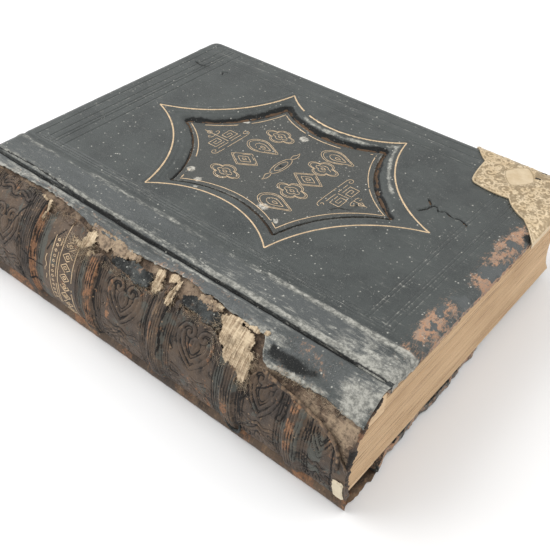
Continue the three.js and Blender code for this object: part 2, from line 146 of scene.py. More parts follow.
def make_mesh(name, points, faces, material, attributes=None, flat=False):
    """A mesh object from book-frame points and faces, with named point attributes.

    A leather's wear, bare, dirt (with painted shade in places) and slate are 0 where they are left out."""
    mesh = bpy.data.meshes.new(name)
    points = place(np.reshape(points, (-1, 3)))
    mesh.from_pydata(points.tolist(), [], [list(map(int, f)) for f in faces])
    mesh.update()
    for key, values in (attributes or {}).items():
        layer = mesh.attributes.new(key, "FLOAT", "POINT")
        layer.data.foreach_set("value", np.asarray(values, np.float32).ravel())
    mesh.shade_flat() if flat else mesh.shade_smooth()
    mesh.materials.append(material)
    obj = bpy.data.objects.new(name, mesh)
    bpy.context.scene.collection.objects.link(obj)
    return obj


def grid_faces(rows, columns, keep=None):
    """Quads of a grid whose points are numbered row by row; keep is a mask of its cells."""
    index = np.arange(rows * columns).reshape(rows, columns)
    quads = np.stack([index[:-1, :-1], index[:-1, 1:], index[1:, 1:], index[1:, :-1]], axis=-1)
    return quads.reshape(-1, 4) if keep is None else quads[keep]


def ring_faces(rows, columns, reverse=False):
    """Quads between closed rows of points, numbered row by row."""
    index = np.arange(rows * columns).reshape(rows, columns)
    after = np.roll(index, -1, axis=1)
    corners = [index[:-1], after[:-1], after[1:], index[1:]]
    if reverse:
        corners = [corners[k] for k in (0, 3, 2, 1)]
    return np.stack(corners, axis=-1).reshape(-1, 4)


def capped(quads, points, columns):
    """A tube's quads with a face at each of its ends."""
    rim = np.arange(columns)
    return [*quads.tolist(), rim.tolist(), (points - 1 - rim).tolist()]


def tidy(obj, distance=0.00002):
    """Joins points closer than a distance in metres and drops loose ones."""
    work = bmesh.new()
    work.from_mesh(obj.data)
    bmesh.ops.remove_doubles(work, verts=work.verts, dist=distance)
    loose = [v for v in work.verts if not v.link_faces]
    bmesh.ops.delete(work, geom=loose, context="VERTS")
    work.to_mesh(obj.data)
    work.free()
    return obj


def spaced(low, high, step, lines=(), half=1.0):
    """Positions from low to high every step, with fine steps round each line."""
    fine, closest = 0.35, 0.12
    values = list(np.linspace(low, high, int(round((high - low) / step)) + 1))
    for line in lines:
        close = np.arange(line - half, line + half + fine / 2, fine)
        values += [v for v in close if low < v < high]
    values = np.sort(np.array(values))
    keep = np.concatenate([[True], np.diff(values) > closest])
    keep[-1] = True
    if values[-1] - values[keep][-2] < closest:
        keep[np.flatnonzero(keep)[-2]] = False
    return values[keep]


def bowed(start, end, sagitta, steps):
    """Points of an arc from start towards end that bows to its left by sagitta."""
    start, end = np.array(start, float), np.array(end, float)
    chord = end - start
    half = np.hypot(*chord) / 2
    radius = (half**2 + sagitta**2) / (2 * sagitta)
    along = chord / (2 * half)
    left = np.array([-along[1], along[0]])
    angle = math.asin(half / radius) * (2 * np.arange(steps) / steps - 1)
    out = radius * np.cos(angle) - (radius - sagitta)
    return (start + end) / 2 + np.outer(radius * np.sin(angle), along) + np.outer(out, left)


def star_outline(tip, side_x, side_y, side_hollow, slope_hollow, shrink=0.0, steps=14):
    """A six-pointed star with hollow sides, counter-clockwise from its lowest tip."""
    x, y, t = side_x - shrink, side_y, tip - shrink
    tips = [(0, -t), (x, -y), (x, y), (0, t), (-x, y), (-x, -y)]
    sides = []
    for i, start in enumerate(tips):
        hollow = side_hollow if i % 3 == 1 else slope_hollow
        sides.append(bowed(start, tips[(i + 1) % 6], hollow, steps))
    return STAR + np.concatenate(sides)


def line_distance(points, line, closed=False):
    """Distance from each point to a polyline."""
    line = np.asarray(line, float)
    ends = np.roll(line, -1, axis=0) if closed else line[1:]
    starts = line if closed else line[:-1]
    best = np.full(len(points), 1e9)
    for a, b in zip(starts, ends):
        ab = b - a
        t = np.clip(((points - a) @ ab) / max(ab @ ab, 1e-12), 0, 1)
        best = np.minimum(best, np.hypot(*(points - a - t[:, None] * ab).T))
    return best


def inside(points, outline):
    """Which points lie inside a closed outline."""
    x, y = points.T
    found = np.zeros(len(points), bool)
    for (xa, ya), (xb, yb) in zip(outline, np.roll(outline, -1, axis=0)):
        if ya == yb:
            continue
        crosses = (ya > y) != (yb > y)
        found ^= crosses & (x < (xb - xa) * (y - ya) / (yb - ya) + xa)
    return found


def signed_distance(points, outline):
    """Distance to a closed outline, positive inside."""
    distance = line_distance(points, outline, closed=True)
    return np.where(inside(points, outline), distance, -distance)


def on_back(offset, degrees, y):
    """Book-frame points at a distance outside the folds, at an angle round the back."""
    angle = np.radians(degrees)
    radius = BACK_R + offset
    x = BACK_X + radius * np.cos(angle)
    z = BACK_Z + radius * np.sin(angle)
    return np.stack(np.broadcast_arrays(x, y, z), axis=-1)


def fold_x(z):
    """Where the leaves' folds lie at a height."""
    return BACK_X - np.sqrt(BACK_R**2 - (z - BACK_Z) ** 2)


def fore_edge_x(z):
    """Where the hollow fore-edge lies at a height."""
    middle = (COVER_INSIDE + COVER) / 2
    half = (COVER_INSIDE - COVER) / 2
    return 220 - 14 * (1 - ((z - middle) / half) ** 2)


# ------------------------------------------------------------------ materials


class Nodes:
    """Short calls that build a node material."""

    def __init__(self, name):
        self.material = bpy.data.materials.new(name)
        self.material.use_nodes = True
        self.tree = self.material.node_tree
        self.tree.nodes.clear()
        self.shader = self.add("ShaderNodeBsdfPrincipled")
        output = self.add("ShaderNodeOutputMaterial")
        self.join(self.shader.outputs[0], output.inputs["Surface"])
        self.coords = self.add("ShaderNodeTexCoord").outputs["Object"]

    def add(self, kind, **settings):
        node = self.tree.nodes.new(kind)
        for key, value in settings.items():
            setattr(node, key, value)
        return node

    def join(self, source, target):
        self.tree.links.new(source, target)

    def feed(self, value, socket):
        if isinstance(value, bpy.types.NodeSocket):
            self.join(value, socket)
        elif isinstance(value, (tuple, list)) and len(value) == 3 and len(socket.default_value) == 4:
            socket.default_value = (*value, 1)
        else:
            socket.default_value = value

    def stretched(self, scale):
        node = self.add("ShaderNodeMapping")
        self.join(self.coords, node.inputs["Vector"])
        node.inputs["Scale"].default_value = scale
        return node.outputs[0]

    def noise(self, per_metre, detail=4, rough_share=0.6, vector=None):
        node = self.add("ShaderNodeTexNoise")
        self.join(vector or self.coords, node.inputs["Vector"])
        node.inputs["Scale"].default_value = per_metre
        node.inputs["Detail"].default_value = detail
        node.inputs["Roughness"].default_value = rough_share
        return node.outputs["Fac"]

    def cells(self, per_metre, feature="DISTANCE_TO_EDGE"):
        node = self.add("ShaderNodeTexVoronoi", feature=feature)
        self.join(self.coords, node.inputs["Vector"])
        node.inputs["Scale"].default_value = per_metre
        return node.outputs["Distance"]

    def attribute(self, name):
        return self.add("ShaderNodeAttribute", attribute_name=name).outputs["Fac"]

    def math(self, operation, a, b):
        node = self.add("ShaderNodeMath", operation=operation)
        self.feed(a, node.inputs[0])
        self.feed(b, node.inputs[1])
        return node.outputs[0]

    def plus(self, a, b):
        return self.math("ADD", a, b)

    def times(self, a, b):
        return self.math("MULTIPLY", a, b)

    def swing(self, value, size):
        """A value from 0 to 1 as one to either side of 0, size across."""
        return self.times(self.math("SUBTRACT", value, 0.5), size)

    def span(self, value, low, high, to_low=0.0, to_high=1.0):
        node = self.add("ShaderNodeMapRange", interpolation_type="SMOOTHSTEP")
        self.feed(value, node.inputs["Value"])
        node.inputs["From Min"].default_value = low
        node.inputs["From Max"].default_value = high
        node.inputs["To Min"].default_value = to_low
        node.inputs["To Max"].default_value = to_high
        return node.outputs[0]

    def mix(self, share, a, b):
        node = self.add("ShaderNodeMix", data_type="RGBA")
        self.feed(share, node.inputs["Factor"])
        self.feed(a, node.inputs[6])
        self.feed(b, node.inputs[7])
        return node.outputs[2]

    def bumped(self, height, distance, strength):
        node = self.add("ShaderNodeBump")
        node.inputs["Strength"].default_value = strength
        node.inputs["Distance"].default_value = distance
        self.feed(height, node.inputs["Height"])
        return node.outputs[0]

    def finish(self, colour, roughness, normal=None, **fixed):
        self.feed(colour, self.shader.inputs["Base Color"])
        self.feed(roughness, self.shader.inputs["Roughness"])
        if normal:
            self.join(normal, self.shader.inputs["Normal"])
        for key, value in fixed.items():
            self.shader.inputs[key.replace("_", " ")].default_value = value
        return self.material


def darkened(colour, share):
    return tuple(c * share for c in colour)


def worn_leather(name, base, deep, worn, bare, slate_colour, grain, gloss, along=(1, 0.22, 1)):
    """Leather with grain and flecks. The wear, bare, slate and dirt attributes scuff it, strip it,
    leave its old colour and darken it, the last with dirt and, in cracks and crevices, painted shade; scuffs run the
    way that along draws them out."""
    n = Nodes(name)
    cloud = n.noise(38, 5, 0.65)
    fine = n.noise(850, 6, 0.75)
    speck = n.noise(1900, 3, 0.75)
    streaks = n.noise(520, 6, 0.72, n.stretched(along))
    hairs = n.noise(900, 5, 0.75, n.stretched((0.35, 1.6, 1)))
    colour = n.mix(n.span(cloud, 0.35, 0.7), base, deep)
    colour = n.mix(n.span(streaks, 0.52, 0.8, 0.0, 0.35), colour, worn[1])

    slate = n.plus(n.attribute("slate"), n.swing(fine, 1.4))
    colour = n.mix(n.times(n.span(slate, 0.4, 0.8), 0.75), colour, slate_colour)

    torn = n.plus(n.swing(n.noise(260, 6, 0.75), 1.9), n.swing(hairs, 1.3))
    strip = n.span(n.plus(n.attribute("bare"), torn), 0.4, 0.75)
    stripped = n.mix(n.span(n.noise(430, 5, 0.75), 0.36, 0.64), bare[0], bare[1])
    stripped = n.mix(n.span(hairs, 0.5, 0.72, 0.0, 0.6), stripped, darkened(deep, 1.6))
    stripped = n.mix(n.span(fine, 0.5, 0.75, 0.0, 0.5), stripped, worn[1])
    colour = n.mix(strip, colour, stripped)

    wear = n.plus(n.attribute("wear"), n.swing(streaks, 2.1))
    wear = n.span(n.plus(wear, n.swing(speck, 0.7)), 0.35, 1.0)
    scuffed = n.mix(n.span(n.noise(420, 4, 0.7), 0.35, 0.65), worn[0], worn[1])
    colour = n.mix(n.times(wear, 0.85), colour, scuffed)

    # Darkens towards near black: dirt, and painted shade where a piece sets it in cracks and crevices.
    dirt_and_shade = n.plus(n.attribute("dirt_and_shade"), n.swing(n.noise(700, 5, 0.75), 1.3))
    colour = n.mix(n.span(dirt_and_shade, 0.35, 1.0), colour, darkened(deep, 0.22))

    flecks = n.times(n.span(n.cells(240, "F1"), 0.16, 0.09), n.span(n.noise(55, 4, 0.7), 0.43, 0.57))
    grit = n.times(n.span(n.cells(620, "F1"), 0.17, 0.1), n.span(n.noise(80, 5, 0.75), 0.5, 0.62))
    dust = n.times(n.span(n.noise(1300, 5, 0.85), 0.55, 0.74, 0.0, 0.36), n.span(cloud, 0.4, 0.6))
    for specks in (n.times(flecks, 0.8), n.times(grit, 0.65), dust):
        colour = n.mix(specks, colour, worn[0])

    height = n.plus(n.span(n.cells(grain), 0.0, 0.35), n.times(fine, 1.4))
    normal = n.bumped(n.plus(height, n.times(streaks, 1.2)), 0.00016, 0.6)
    roughness = n.span(n.plus(n.plus(wear, strip), dirt_and_shade), 0.0, 1.2, gloss, 0.9)
    return n.finish(colour, roughness, normal, Specular_IOR_Level=0.5, Sheen_Weight=0.04)


def paper(name, light, dark, streak, stain):
    """Aged paper: streaked where leaf edges show, mottled on a page."""
    n = Nodes(name)
    layers = n.noise(6.0, 6, 0.7, n.stretched((0.6, 0.6, 260)))
    cloud = n.noise(16, 4, 0.6, n.stretched((1, 1, 2.5)))
    fibres = n.noise(1500, 3, 0.7, n.stretched((1, 1, 0.3)))
    edge = n.attribute("edge")
    sides = n.mix(n.span(layers, 0.3, 0.7), light, dark)
    darker = n.noise(9, 5, 0.7, n.stretched((1.2, 1.2, 190)))
    sides = n.mix(n.times(n.span(darker, 0.55, 0.72), streak), sides, stain)
    # Thin dark lines across the leaf edges: painted shade of the gaps between gatherings, in a darkened stain colour.
    gaps = n.noise(7, 3, 0.6, n.stretched((1, 1, 330)))
    sides = n.mix(n.span(gaps, 0.57, 0.63, 0.0, 0.8), sides, darkened(stain, 0.4))
    page = n.mix(n.span(n.noise(45, 6, 0.7), 0.35, 0.7, 0.0, 0.7), light, dark)
    colour = n.mix(edge, page, sides)
    colour = n.mix(n.span(cloud, 0.42, 0.75, 0.0, 0.4), colour, stain)
    grain = n.plus(n.times(layers, edge), n.times(fibres, 0.3))
    normal = n.bumped(grain, 0.0003, 0.5)
    return n.finish(colour, 0.88, normal, Sheen_Weight=0.02)


def linen(name, light, dark, soiled):
    """Coarse linen: threads both ways, stained in patches."""
    n = Nodes(name)
    warp = n.noise(260, 3, 0.6, n.stretched((0.25, 4.5, 0.25)))
    weft = n.noise(260, 3, 0.6, n.stretched((2.5, 0.4, 4.5)))
    weave = n.plus(n.times(warp, 1.4), n.times(weft, 0.6))
    fluff = n.noise(900, 5, 0.75)
    colour = n.mix(n.span(weave, 0.75, 1.2), dark, light)
    soil = n.span(n.noise(110, 5, 0.75), 0.45, 0.68, 0.0, soiled)
    colour = n.mix(soil, colour, darkened(dark, 0.45))
    colour = n.mix(n.span(fluff, 0.5, 0.75, 0.0, 0.5), colour, light)
    normal = n.bumped(n.plus(weave, fluff), 0.0004, 0.8)
    return n.finish(colour, 0.95, normal, Sheen_Weight=0.1)


def grime(name, light, middle, dark):
    """Old glue, dirt and torn fibres in patches."""
    n = Nodes(name)
    cloud = n.noise(75, 6, 0.7)
    fine = n.noise(420, 6, 0.75)
    colour = n.mix(n.span(cloud, 0.36, 0.6), light, middle)
    darker = n.plus(fine, n.times(cloud, 0.5))
    colour = n.mix(n.span(darker, 0.66, 0.95), colour, dark)
    colour = n.mix(n.span(n.noise(1500, 4, 0.8), 0.56, 0.75, 0.0, 0.5), colour, light)
    normal = n.bumped(n.plus(fine, cloud), 0.0006, 0.8)
    return n.finish(colour, 0.9, normal, Sheen_Weight=0.04)


def brass(name):
    """Stamped brass: worn bright on top, brown in its hollows, painted near black as shade where it is pierced."""
    n = Nodes(name)
    tarnish = n.noise(95, 5, 0.65)
    stain = n.span(n.noise(520, 5, 0.8), 0.58, 0.76, 0.0, 0.45)
    dirt_and_shade = n.attribute("dirt_and_shade")
    colour = n.mix(n.span(tarnish, 0.35, 0.65), (0.7, 0.57, 0.39), (0.6, 0.47, 0.3))
    colour = n.mix(stain, colour, (0.27, 0.2, 0.12))
    colour = n.mix(n.span(dirt_and_shade, 0.1, 1.0, 0.0, 0.85), colour, (0.23, 0.165, 0.09))
    # Painted shade: the pierced holes are not cut, so they are painted near black.
    colour = n.mix(n.span(dirt_and_shade, 1.4, 1.9), colour, (0.012, 0.01, 0.008))
    roughness = n.span(tarnish, 0.3, 0.7, 0.4, 0.55)
    pits = n.bumped(n.noise(1500, 5, 0.75), 0.00015, 0.6)
    return n.finish(colour, roughness, pits, Metallic=0.6)


def gilt(name):
    """Gilt stamping, partly rubbed through to the leather."""
    n = Nodes(name)
    tone = n.span(n.noise(260, 4, 0.7), 0.35, 0.65)
    rubbed = n.span(n.noise(1100, 4, 0.8), 0.54, 0.68, 0.0, 0.75)
    colour = n.mix(tone, (0.72, 0.53, 0.33), (0.52, 0.38, 0.23))
    colour = n.mix(rubbed, colour, (0.12, 0.105, 0.08))
    return n.finish(colour, 0.45, n.bumped(n.noise(2200, 3), 0.0001, 0.5), Metallic=0.2)


def board(name):
    """Brown pasteboard, layered at its edges."""
    n = Nodes(name)
    layers = n.noise(8, 5, 0.7, n.stretched((1, 1, 120)))
    colour = n.mix(n.span(layers, 0.35, 0.65), (0.13, 0.075, 0.038), (0.055, 0.032, 0.018))
    return n.finish(colour, 0.92, n.bumped(n.noise(700, 5), 0.0004, 0.7))


cover_leather = worn_leather(
    "cover_leather", base=(0.043, 0.05, 0.047), deep=(0.022, 0.027, 0.026),
    worn=((0.46, 0.45, 0.4), (0.17, 0.17, 0.152)), bare=((0.42, 0.225, 0.125), (0.31, 0.22, 0.16)),
    slate_colour=(0.068, 0.075, 0.075), grain=900, gloss=0.45,
)
panel_leather = worn_leather(
    "panel_leather", base=(0.044, 0.047, 0.042), deep=(0.03, 0.033, 0.03),
    worn=((0.6, 0.57, 0.5), (0.2, 0.19, 0.165)), bare=((0.3, 0.15, 0.08), (0.06, 0.04, 0.028)),
    slate_colour=(0.08, 0.09, 0.1), grain=1200, gloss=0.45, along=(1, 1, 1),
)
spine_leather = worn_leather(
    "spine_leather", base=(0.09, 0.056, 0.032), deep=(0.032, 0.022, 0.016),
    worn=((0.3, 0.2, 0.12), (0.165, 0.107, 0.064)), bare=((0.33, 0.165, 0.08), (0.19, 0.095, 0.055)),
    slate_colour=(0.066, 0.073, 0.062), grain=520, gloss=0.6, along=(0.5, 1, 0.3),
)
leaf_paper = paper("leaf_paper", (0.66, 0.47, 0.285), (0.5, 0.34, 0.2), 0.75, (0.33, 0.2, 0.105))
end_paper = paper("end_paper", (0.68, 0.53, 0.34), (0.56, 0.41, 0.25), 0.2, (0.42, 0.27, 0.14))
scrap_paper = grime("scrap_paper", (0.4, 0.3, 0.2), (0.29, 0.21, 0.14), (0.09, 0.065, 0.045))
white_paper = paper("white_paper", (0.74, 0.66, 0.5), (0.56, 0.47, 0.33), 0.3, (0.36, 0.27, 0.17))
torn_lining = grime("torn_lining", (0.3, 0.22, 0.15), (0.13, 0.085, 0.055), (0.03, 0.02, 0.014))
linen_cloth = linen("linen_cloth", (0.66, 0.53, 0.36), (0.3, 0.21, 0.13), 0.65)
thread_fibre = linen("thread_fibre", (0.68, 0.55, 0.38), (0.42, 0.31, 0.19), 0.2)
stamped_brass = brass("stamped_brass")
gilt_line = gilt("gilt_line")
pasteboard = board("pasteboard")


# ------------------------------------------------------------------ covers

BLIND_X = (31.5, 33.5, 36.0, 200.5, 203.0, 213.0, 221.0)
BLIND_TAIL = (22.0, 25.5, 27.5, 37.0, 39.5)
BLIND_HEAD = (293.0, 300.0, 303.0, 309.0, 318.0)
CRACKS = (
    [(134, 68), (137, 66.5), (140, 65), (143, 64)],
    [(149, 69), (146, 66), (144, 65), (145.5, 61), (142, 58), (144.5, 54), (142, 48), (143.5, 43), (141, 37)],
    [(187, 312), (185.5, 306), (187.5, 300)],
    [(185, 282), (188, 284), (190, 281)],
    [(2.5, 200), (3.0, 240), (5.5, 285), (4.0, 328)],
)


# Places where the leather is chipped down to white, with their sizes.
COVER_CHIPS = (
    (76, 212, 3), (69, 200, 3), (74, 147, 4), (68, 131, 3), (157, 177, 4), (147, 223, 2.5), (60, 192, 2),
)
PANEL_CHIPS = ((76, 211, 3.2), (70, 199, 2.6), (76, 147, 4.5), (69, 131, 2.6), (157, 177, 4), (147, 223, 3))


def chipped(wear, x, y, chips, depth, seed):
    """Adds irregular chips to the wear of a surface."""
    for cx, cy, size in chips:
        away = np.hypot(x - cx, y - cy) + 1.6 * rough(x, y, 2.6, seed)
        wear = wear + depth * bump(away, 0, size * 1.15)
    return wear


def rounded(x, y, plate, inset):
    """Moves points of a plate's square corners onto its rounded ones."""
    left, right, tail, head, radii = plate
    x, y = x.copy(), y.copy()
    corners = ((left, tail, 1, 1), (right, tail, -1, 1), (right, head, -1, -1), (left, head, 1, -1))
    for (cx, cy, sx, sy), radius in zip(corners, radii):
        span = np.maximum(radius - inset, 0.4)
        ex, ey = cx + sx * inset, cy + sy * inset
        u = 1 - (x - ex) * sx / span
        v = 1 - (y - ey) * sy / span
        hit = (u > 0) & (v > 0)
        length = np.hypot(u, v)
        factor = np.where(hit, np.maximum(u, v) / np.maximum(length, 1e-9), 1)
        x = np.where(hit, ex + sx * span * (1 - u * factor), x)
        y = np.where(hit, ey + sy * span * (1 - v * factor), y)
    return x, y


def cover_grid(plate, xs, ys):
    """The outer skin of a cover as a grid that folds over its edges.

    Returns the flat grid, the plan positions, the distance from the edge, how far each point
    is down the wall, how far it is past the edge, and which cells to keep."""
    left, right, tail, head, _ = plate
    wall = np.linspace(0, EDGE_WALL, 6)[1:]
    over = np.concatenate([wall, EDGE_WALL + np.array([0.3, 1.2, 5.0, TURN_IN])])
    gx = np.concatenate([left - wall[::-1], xs, right + over])
    gy = np.concatenate([tail - over[::-1], ys, head + over])
    X, Y = np.meshgrid(gx, gy)
    under_x = np.maximum(left - X, 0)
    over_x = np.maximum(X - right, 0)
    over_y = np.maximum(np.maximum(tail - Y, Y - head), 0)
    past = np.maximum(np.maximum(over_x, under_x), over_y)
    drop = np.minimum(past, EDGE_WALL)
    inset = np.maximum(past - EDGE_WALL, 0)
    px = np.clip(X, left, right - inset)
    py = np.clip(Y, tail + inset, head - inset)
    edge = np.minimum(right - px, np.minimum(py - tail, head - py))
    edge = np.where(past > 0, 0, edge)
    rx, ry = rounded(px, py, plate, inset)
    corner = (np.maximum(over_x, under_x) > 0) & (over_y > 0)
    keep = ~(corner[:-1, :-1] | corner[1:, 1:] | corner[1:, :-1] | corner[:-1, 1:])
    return X, Y, rx, ry, edge, drop, past, keep


def near(x, y, lines):
    """Distance in the plan from each grid point to the nearest of several polylines."""
    flat = np.stack([np.ravel(x), np.ravel(y)], axis=1)
    best = np.full(len(flat), 1e9)
    for line in lines:
        best = np.minimum(best, line_distance(flat, line))
    return best.reshape(np.shape(x))


def wander(y):
    """How far the front joint's crack strays to the side along the book."""
    return 0.75 * rough(y, 0 * y, 46, 181, 3) + 0.3 * rough(y, 0 * y, 7, 182)


def frame_lines(x, y):
    """Depth of the blind-tooled lines that frame the front cover."""
    inside_y = ramp(y, 20, 24) * ramp(-y, -319, -315)
    inside_x = ramp(x, 30, 33) * ramp(-x, -222, -218)
    depth = np.zeros_like(x)
    for line, cut in zip(BLIND_X, (0.5, 0.5, 0.45, 0.3, 0.35, 0.6, 0.35)):
        depth = np.maximum(depth, cut * bump(x, line, 0.8) * inside_y)
    for line in BLIND_TAIL + BLIND_HEAD:
        depth = np.maximum(depth, 0.42 * bump(y, line, 0.8) * inside_x)
    return depth


def panel_crack(x, y, star_in):
    """How open the torn crack round the panel is: wide towards the head's slope and the fore-edge."""
    wide = ramp(x, 112, 128) * (0.75 + 0.25 * ramp(y, 120, 150))
    stray = (0.7 + 1.3 * wide) * rough(x, y, 11, 64, 4) + 0.5 * rough(x, y, 2.2, 67)
    return bump(star_in + stray, -0.4 - 1.7 * wide, 1.3 + 2.5 * wide)


def front_height(x, y, edge, star_out, star_in):
    """Height of the front cover's leather relative to its flat top."""
    height = rough(x, y, 60, 3, 3) * 0.2 + rough(x, y, 6, 5, 3) * 0.07
    height = height - (COVER - EDGE_WALL) * (1 - np.clip(edge / BEVEL, 0, 1)) ** 1.7
    height = height - 1.3 * (1 - np.clip(x / 3.5, 0, 1)) ** 2
    ripple = rough(x, y * 0.25, 9, 61, 3)
    height = height + 0.35 * bump(x, 5.0, 3.0) + (0.5 + 0.3 * ripple) * bump(x, 24.5, 3.2)
    height = height - 0.6 * bump(x, 28.8, 3.2) + 0.25 * bump(x, 208, 4.0) - frame_lines(x, y)
    sunk = np.clip(star_out / np.maximum(star_out - np.minimum(star_in, 0), 1e-6), 0, 1)
    sunk = np.where(star_out <= 0, 0, sunk)
    steps = 0.45 * ramp(sunk, 0.04, 0.12) + 0.55 * ramp(sunk, 0.30, 0.36) + 2.2 * ramp(sunk, 0.5, 0.93)
    height = height - steps - 2.0 * ramp(star_in, -0.8, 0.6) + 0.4 * bump(star_out, -2.4, 2.4)
    height = height - panel_crack(x, y, star_in) * (1.6 - 0.9 * rough(x, y, 3.0, 63, 4))
    cracks = near(x, y, CRACKS) + 0.6 * rough(x, y, 3.0, 62, 4)
    return height - 1.6 * bump(cracks, 0, 1.1) + 0.3 * bump(cracks, 1.7, 1.0)


def front_attributes(x, y, edge, drop, star_out, star_in):
    """Where the front cover is scuffed, stripped and dirty, with painted shade in the torn crack round the panel, and
    darker where the leather sinks and low on its edge wall.
    """
    torn = panel_crack(x, y, star_in)
    long_rub = rough(x * 4, y * 0.5, 30, 11)
    band = ramp(x, 3, 8) * ramp(-x, -26, -20)
    wear = 0.72 * bump(x, 4.5, 3.4) * (0.7 + 0.7 * long_rub)
    wear = wear + 0.74 * bump(x, 24.0, 3.6) * (0.65 + 0.8 * long_rub)
    wear = wear + 0.07 * band + 0.22 * ramp(-x, -34, -4) + 0.3 * ramp(-y, -70, -10) * ramp(-x, -40, -5)
    wear = wear + 0.36 * (1 - np.clip(edge / 5, 0, 1)) * (0.6 + 0.7 * rough(x, y, 18, 21))
    wear = wear + 0.2 * np.clip(rough(x, y, 34, 31), 0, 1) - 0.25 * bump(x, 28.8, 3)
    wear = chipped(wear, x, y, COVER_CHIPS, 2.4, 35)
    wear = wear + 0.5 * bump(star_in, -3.4, 1.6) * (x < 116) * (0.3 + rough(x, y, 14, 33))
    wear = wear + 0.8 * frame_lines(x + 0.9, y + 0.9) + 0.25 * np.clip(rough(x, y, 55, 34, 2), 0, 1)
    slope = bump(star_out, 4.2, 3.0) * ramp(x, 132, 142) * ramp(-y, -197, -190)
    wear = wear + 1.15 * slope * (0.7 + 0.8 * rough(x, y, 12, 36)) - 0.5 * torn
    wear = wear + 0.7 * bump(near(x, y, CRACKS[:2]), 2.4, 1.6) * (0.2 + rough(x, y, 4, 39))
    tail_patch = ramp(-y, -21, -8) * (0.5 + 0.95 * rough(x, y, 17, 41, 5)) * ramp(x, 14, 30)
    wear = wear + 0.7 * ramp(-np.hypot(x - 2, (y - 8) * 0.8), -34, -6) * (0.45 + rough(x, y, 9, 37, 5))
    bare = 0.98 * np.clip(tail_patch, 0, 1) + 0.85 * (drop > 0.5) * (0.5 + 0.6 * rough(x, y, 12, 43))
    bare = bare + 0.35 * ramp(-np.hypot(x, y - 4), -30, -6) * (0.5 + rough(x, y, 9, 44))
    tear = bump(np.hypot(x - 160, (y - 213) * 1.6), 0, 16) * (star_in > -5) * (torn > 0.1)
    bare = bare + 0.9 * tear * (0.5 + 0.9 * rough(x, y, 5, 45))
    cracks = near(x, y, CRACKS) + 0.6 * rough(x, y, 3.0, 62, 4)
    # The torn crack round the panel is darkened nearly black: dirt in the tear, and painted shade of its sunken walls.
    dirt_and_shade = 2.3 * torn * (1 - 0.6 * np.clip(bare, 0, 1)) + 0.45 * bump(x, 28.8, 2.4)
    # Darkened where the leather sinks: in the groove at x 28.8 above, along the cover's edge at the joint, and along
    # the cracks and tooled lines below.
    dirt_and_shade = dirt_and_shade + 1.1 * bump(x, 1.6, 1.6) * (drop < 0.1) + 0.9 * bump(x, 1.6, 1.0) * (drop > 0.2)
    dirt_and_shade = dirt_and_shade + 2.1 * bump(cracks, 0, 1.05) + 0.5 * frame_lines(x, y)
    dirt_and_shade = dirt_and_shade + 1.4 * bump(np.hypot(x - 156, (y - 3) * 1.4), 0, 7)
    # Darker towards the bottom of the edge wall.
    dirt_and_shade = dirt_and_shade + 0.7 * (drop > 1.2) * (0.5 + rough(x, y, 5, 38))
    slate = 1.2 * ramp(-y, -17, -8) * ramp(x, 20, 28) * (0.22 + 1.3 * rough(x, y, 11, 47, 5))
    slate = slate + band * (0.72 + 0.5 * rough(x, y * 0.3, 22, 48))
    bare = bare * (1 - 0.8 * ramp(slate, 0.55, 0.75) * (y < 14) * (drop < 0.5))
    return dict(wear=wear, bare=bare, dirt_and_shade=dirt_and_shade, slate=np.clip(slate, 0, 1))


def star_distances(x, y):
    """Distances inside the star's outer and inner outlines."""
    flat = np.stack([np.ravel(x), np.ravel(y)], axis=1)
    out = signed_distance(flat, star_outline(**STAR_OUTER)).reshape(np.shape(x))
    into = signed_distance(flat, star_outline(**STAR_INNER)).reshape(np.shape(x))
    return out, into


def cover_top(x, y):
    """Height of the front cover's surface anywhere away from its edges."""
    far = np.full(np.shape(x), 50.0)
    return COVER_TOP + front_height(x, y, far, *star_distances(x, y))


def front_cover():
    plate = (1.6, REACH, 0.0, HEIGHT, (0.4, 6, 9, 0.4))
    xs = spaced(1.6, REACH, 0.95, BLIND_X, 1.0)
    ys = spaced(0.0, HEIGHT, 0.95, BLIND_TAIL + BLIND_HEAD, 1.0)
    X, Y, px, py, edge, drop, past, keep = cover_grid(plate, xs, ys)
    star_out, star_in = star_distances(px, py)
    height = front_height(px, py, edge, star_out, star_in)
    z = np.where(past >= EDGE_WALL, COVER_INSIDE + 0.02, COVER_TOP + height - drop * (1 + 0.1 * (px < 1.7)))
    frayed = (past > 0) * (past < EDGE_WALL)
    px = px + 0.3 * rough(X, Y, 9, 51) * frayed
    py = py + 0.35 * rough(X + 9, Y, 7, 52) * frayed
    nibbled = 0.55 + 0.9 * rough(px, 0 * px, 5, 53) + 0.6 * rough(px, 0 * px, 1.6, 54)
    py = py + np.clip(nibbled, 0, 1.5) * ramp(-py, -3.5, 0.0) * ramp(-px, -196, -176)
    hole = star_in > 2.5
    keep &= ~(hole[:-1, :-1] & hole[1:, 1:])
    by_joint = 1 - ramp(px, 2, 14)
    px = px + (wander(py) + 0.4 - 1.9 * ramp(-py, -34, -14)) * by_joint
    points = np.stack([px, py, z], axis=-1)
    values = front_attributes(px, py, edge, drop, star_out, star_in)
    faces = grid_faces(*px.shape, keep)
    piece = make_mesh("front_cover_leather", points, faces, cover_leather, values)
    ridden(tidy(piece), "front_cover", "cover_leather", "front_leather")


def ridden(piece, body, slot, *nodes):
    """Sets a piece on its body and hides the CAD nodes that it stands for. slot is not used."""
    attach(piece, body)
    if nodes:
        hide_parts(*nodes)
    return piece


def panel_height(x, y):
    """Height of the star panel's uneven leather."""
    return PANEL_TOP + 0.22 * rough(x, y, 45, 71, 3) + 0.07 * rough(x, y, 5, 72, 3)


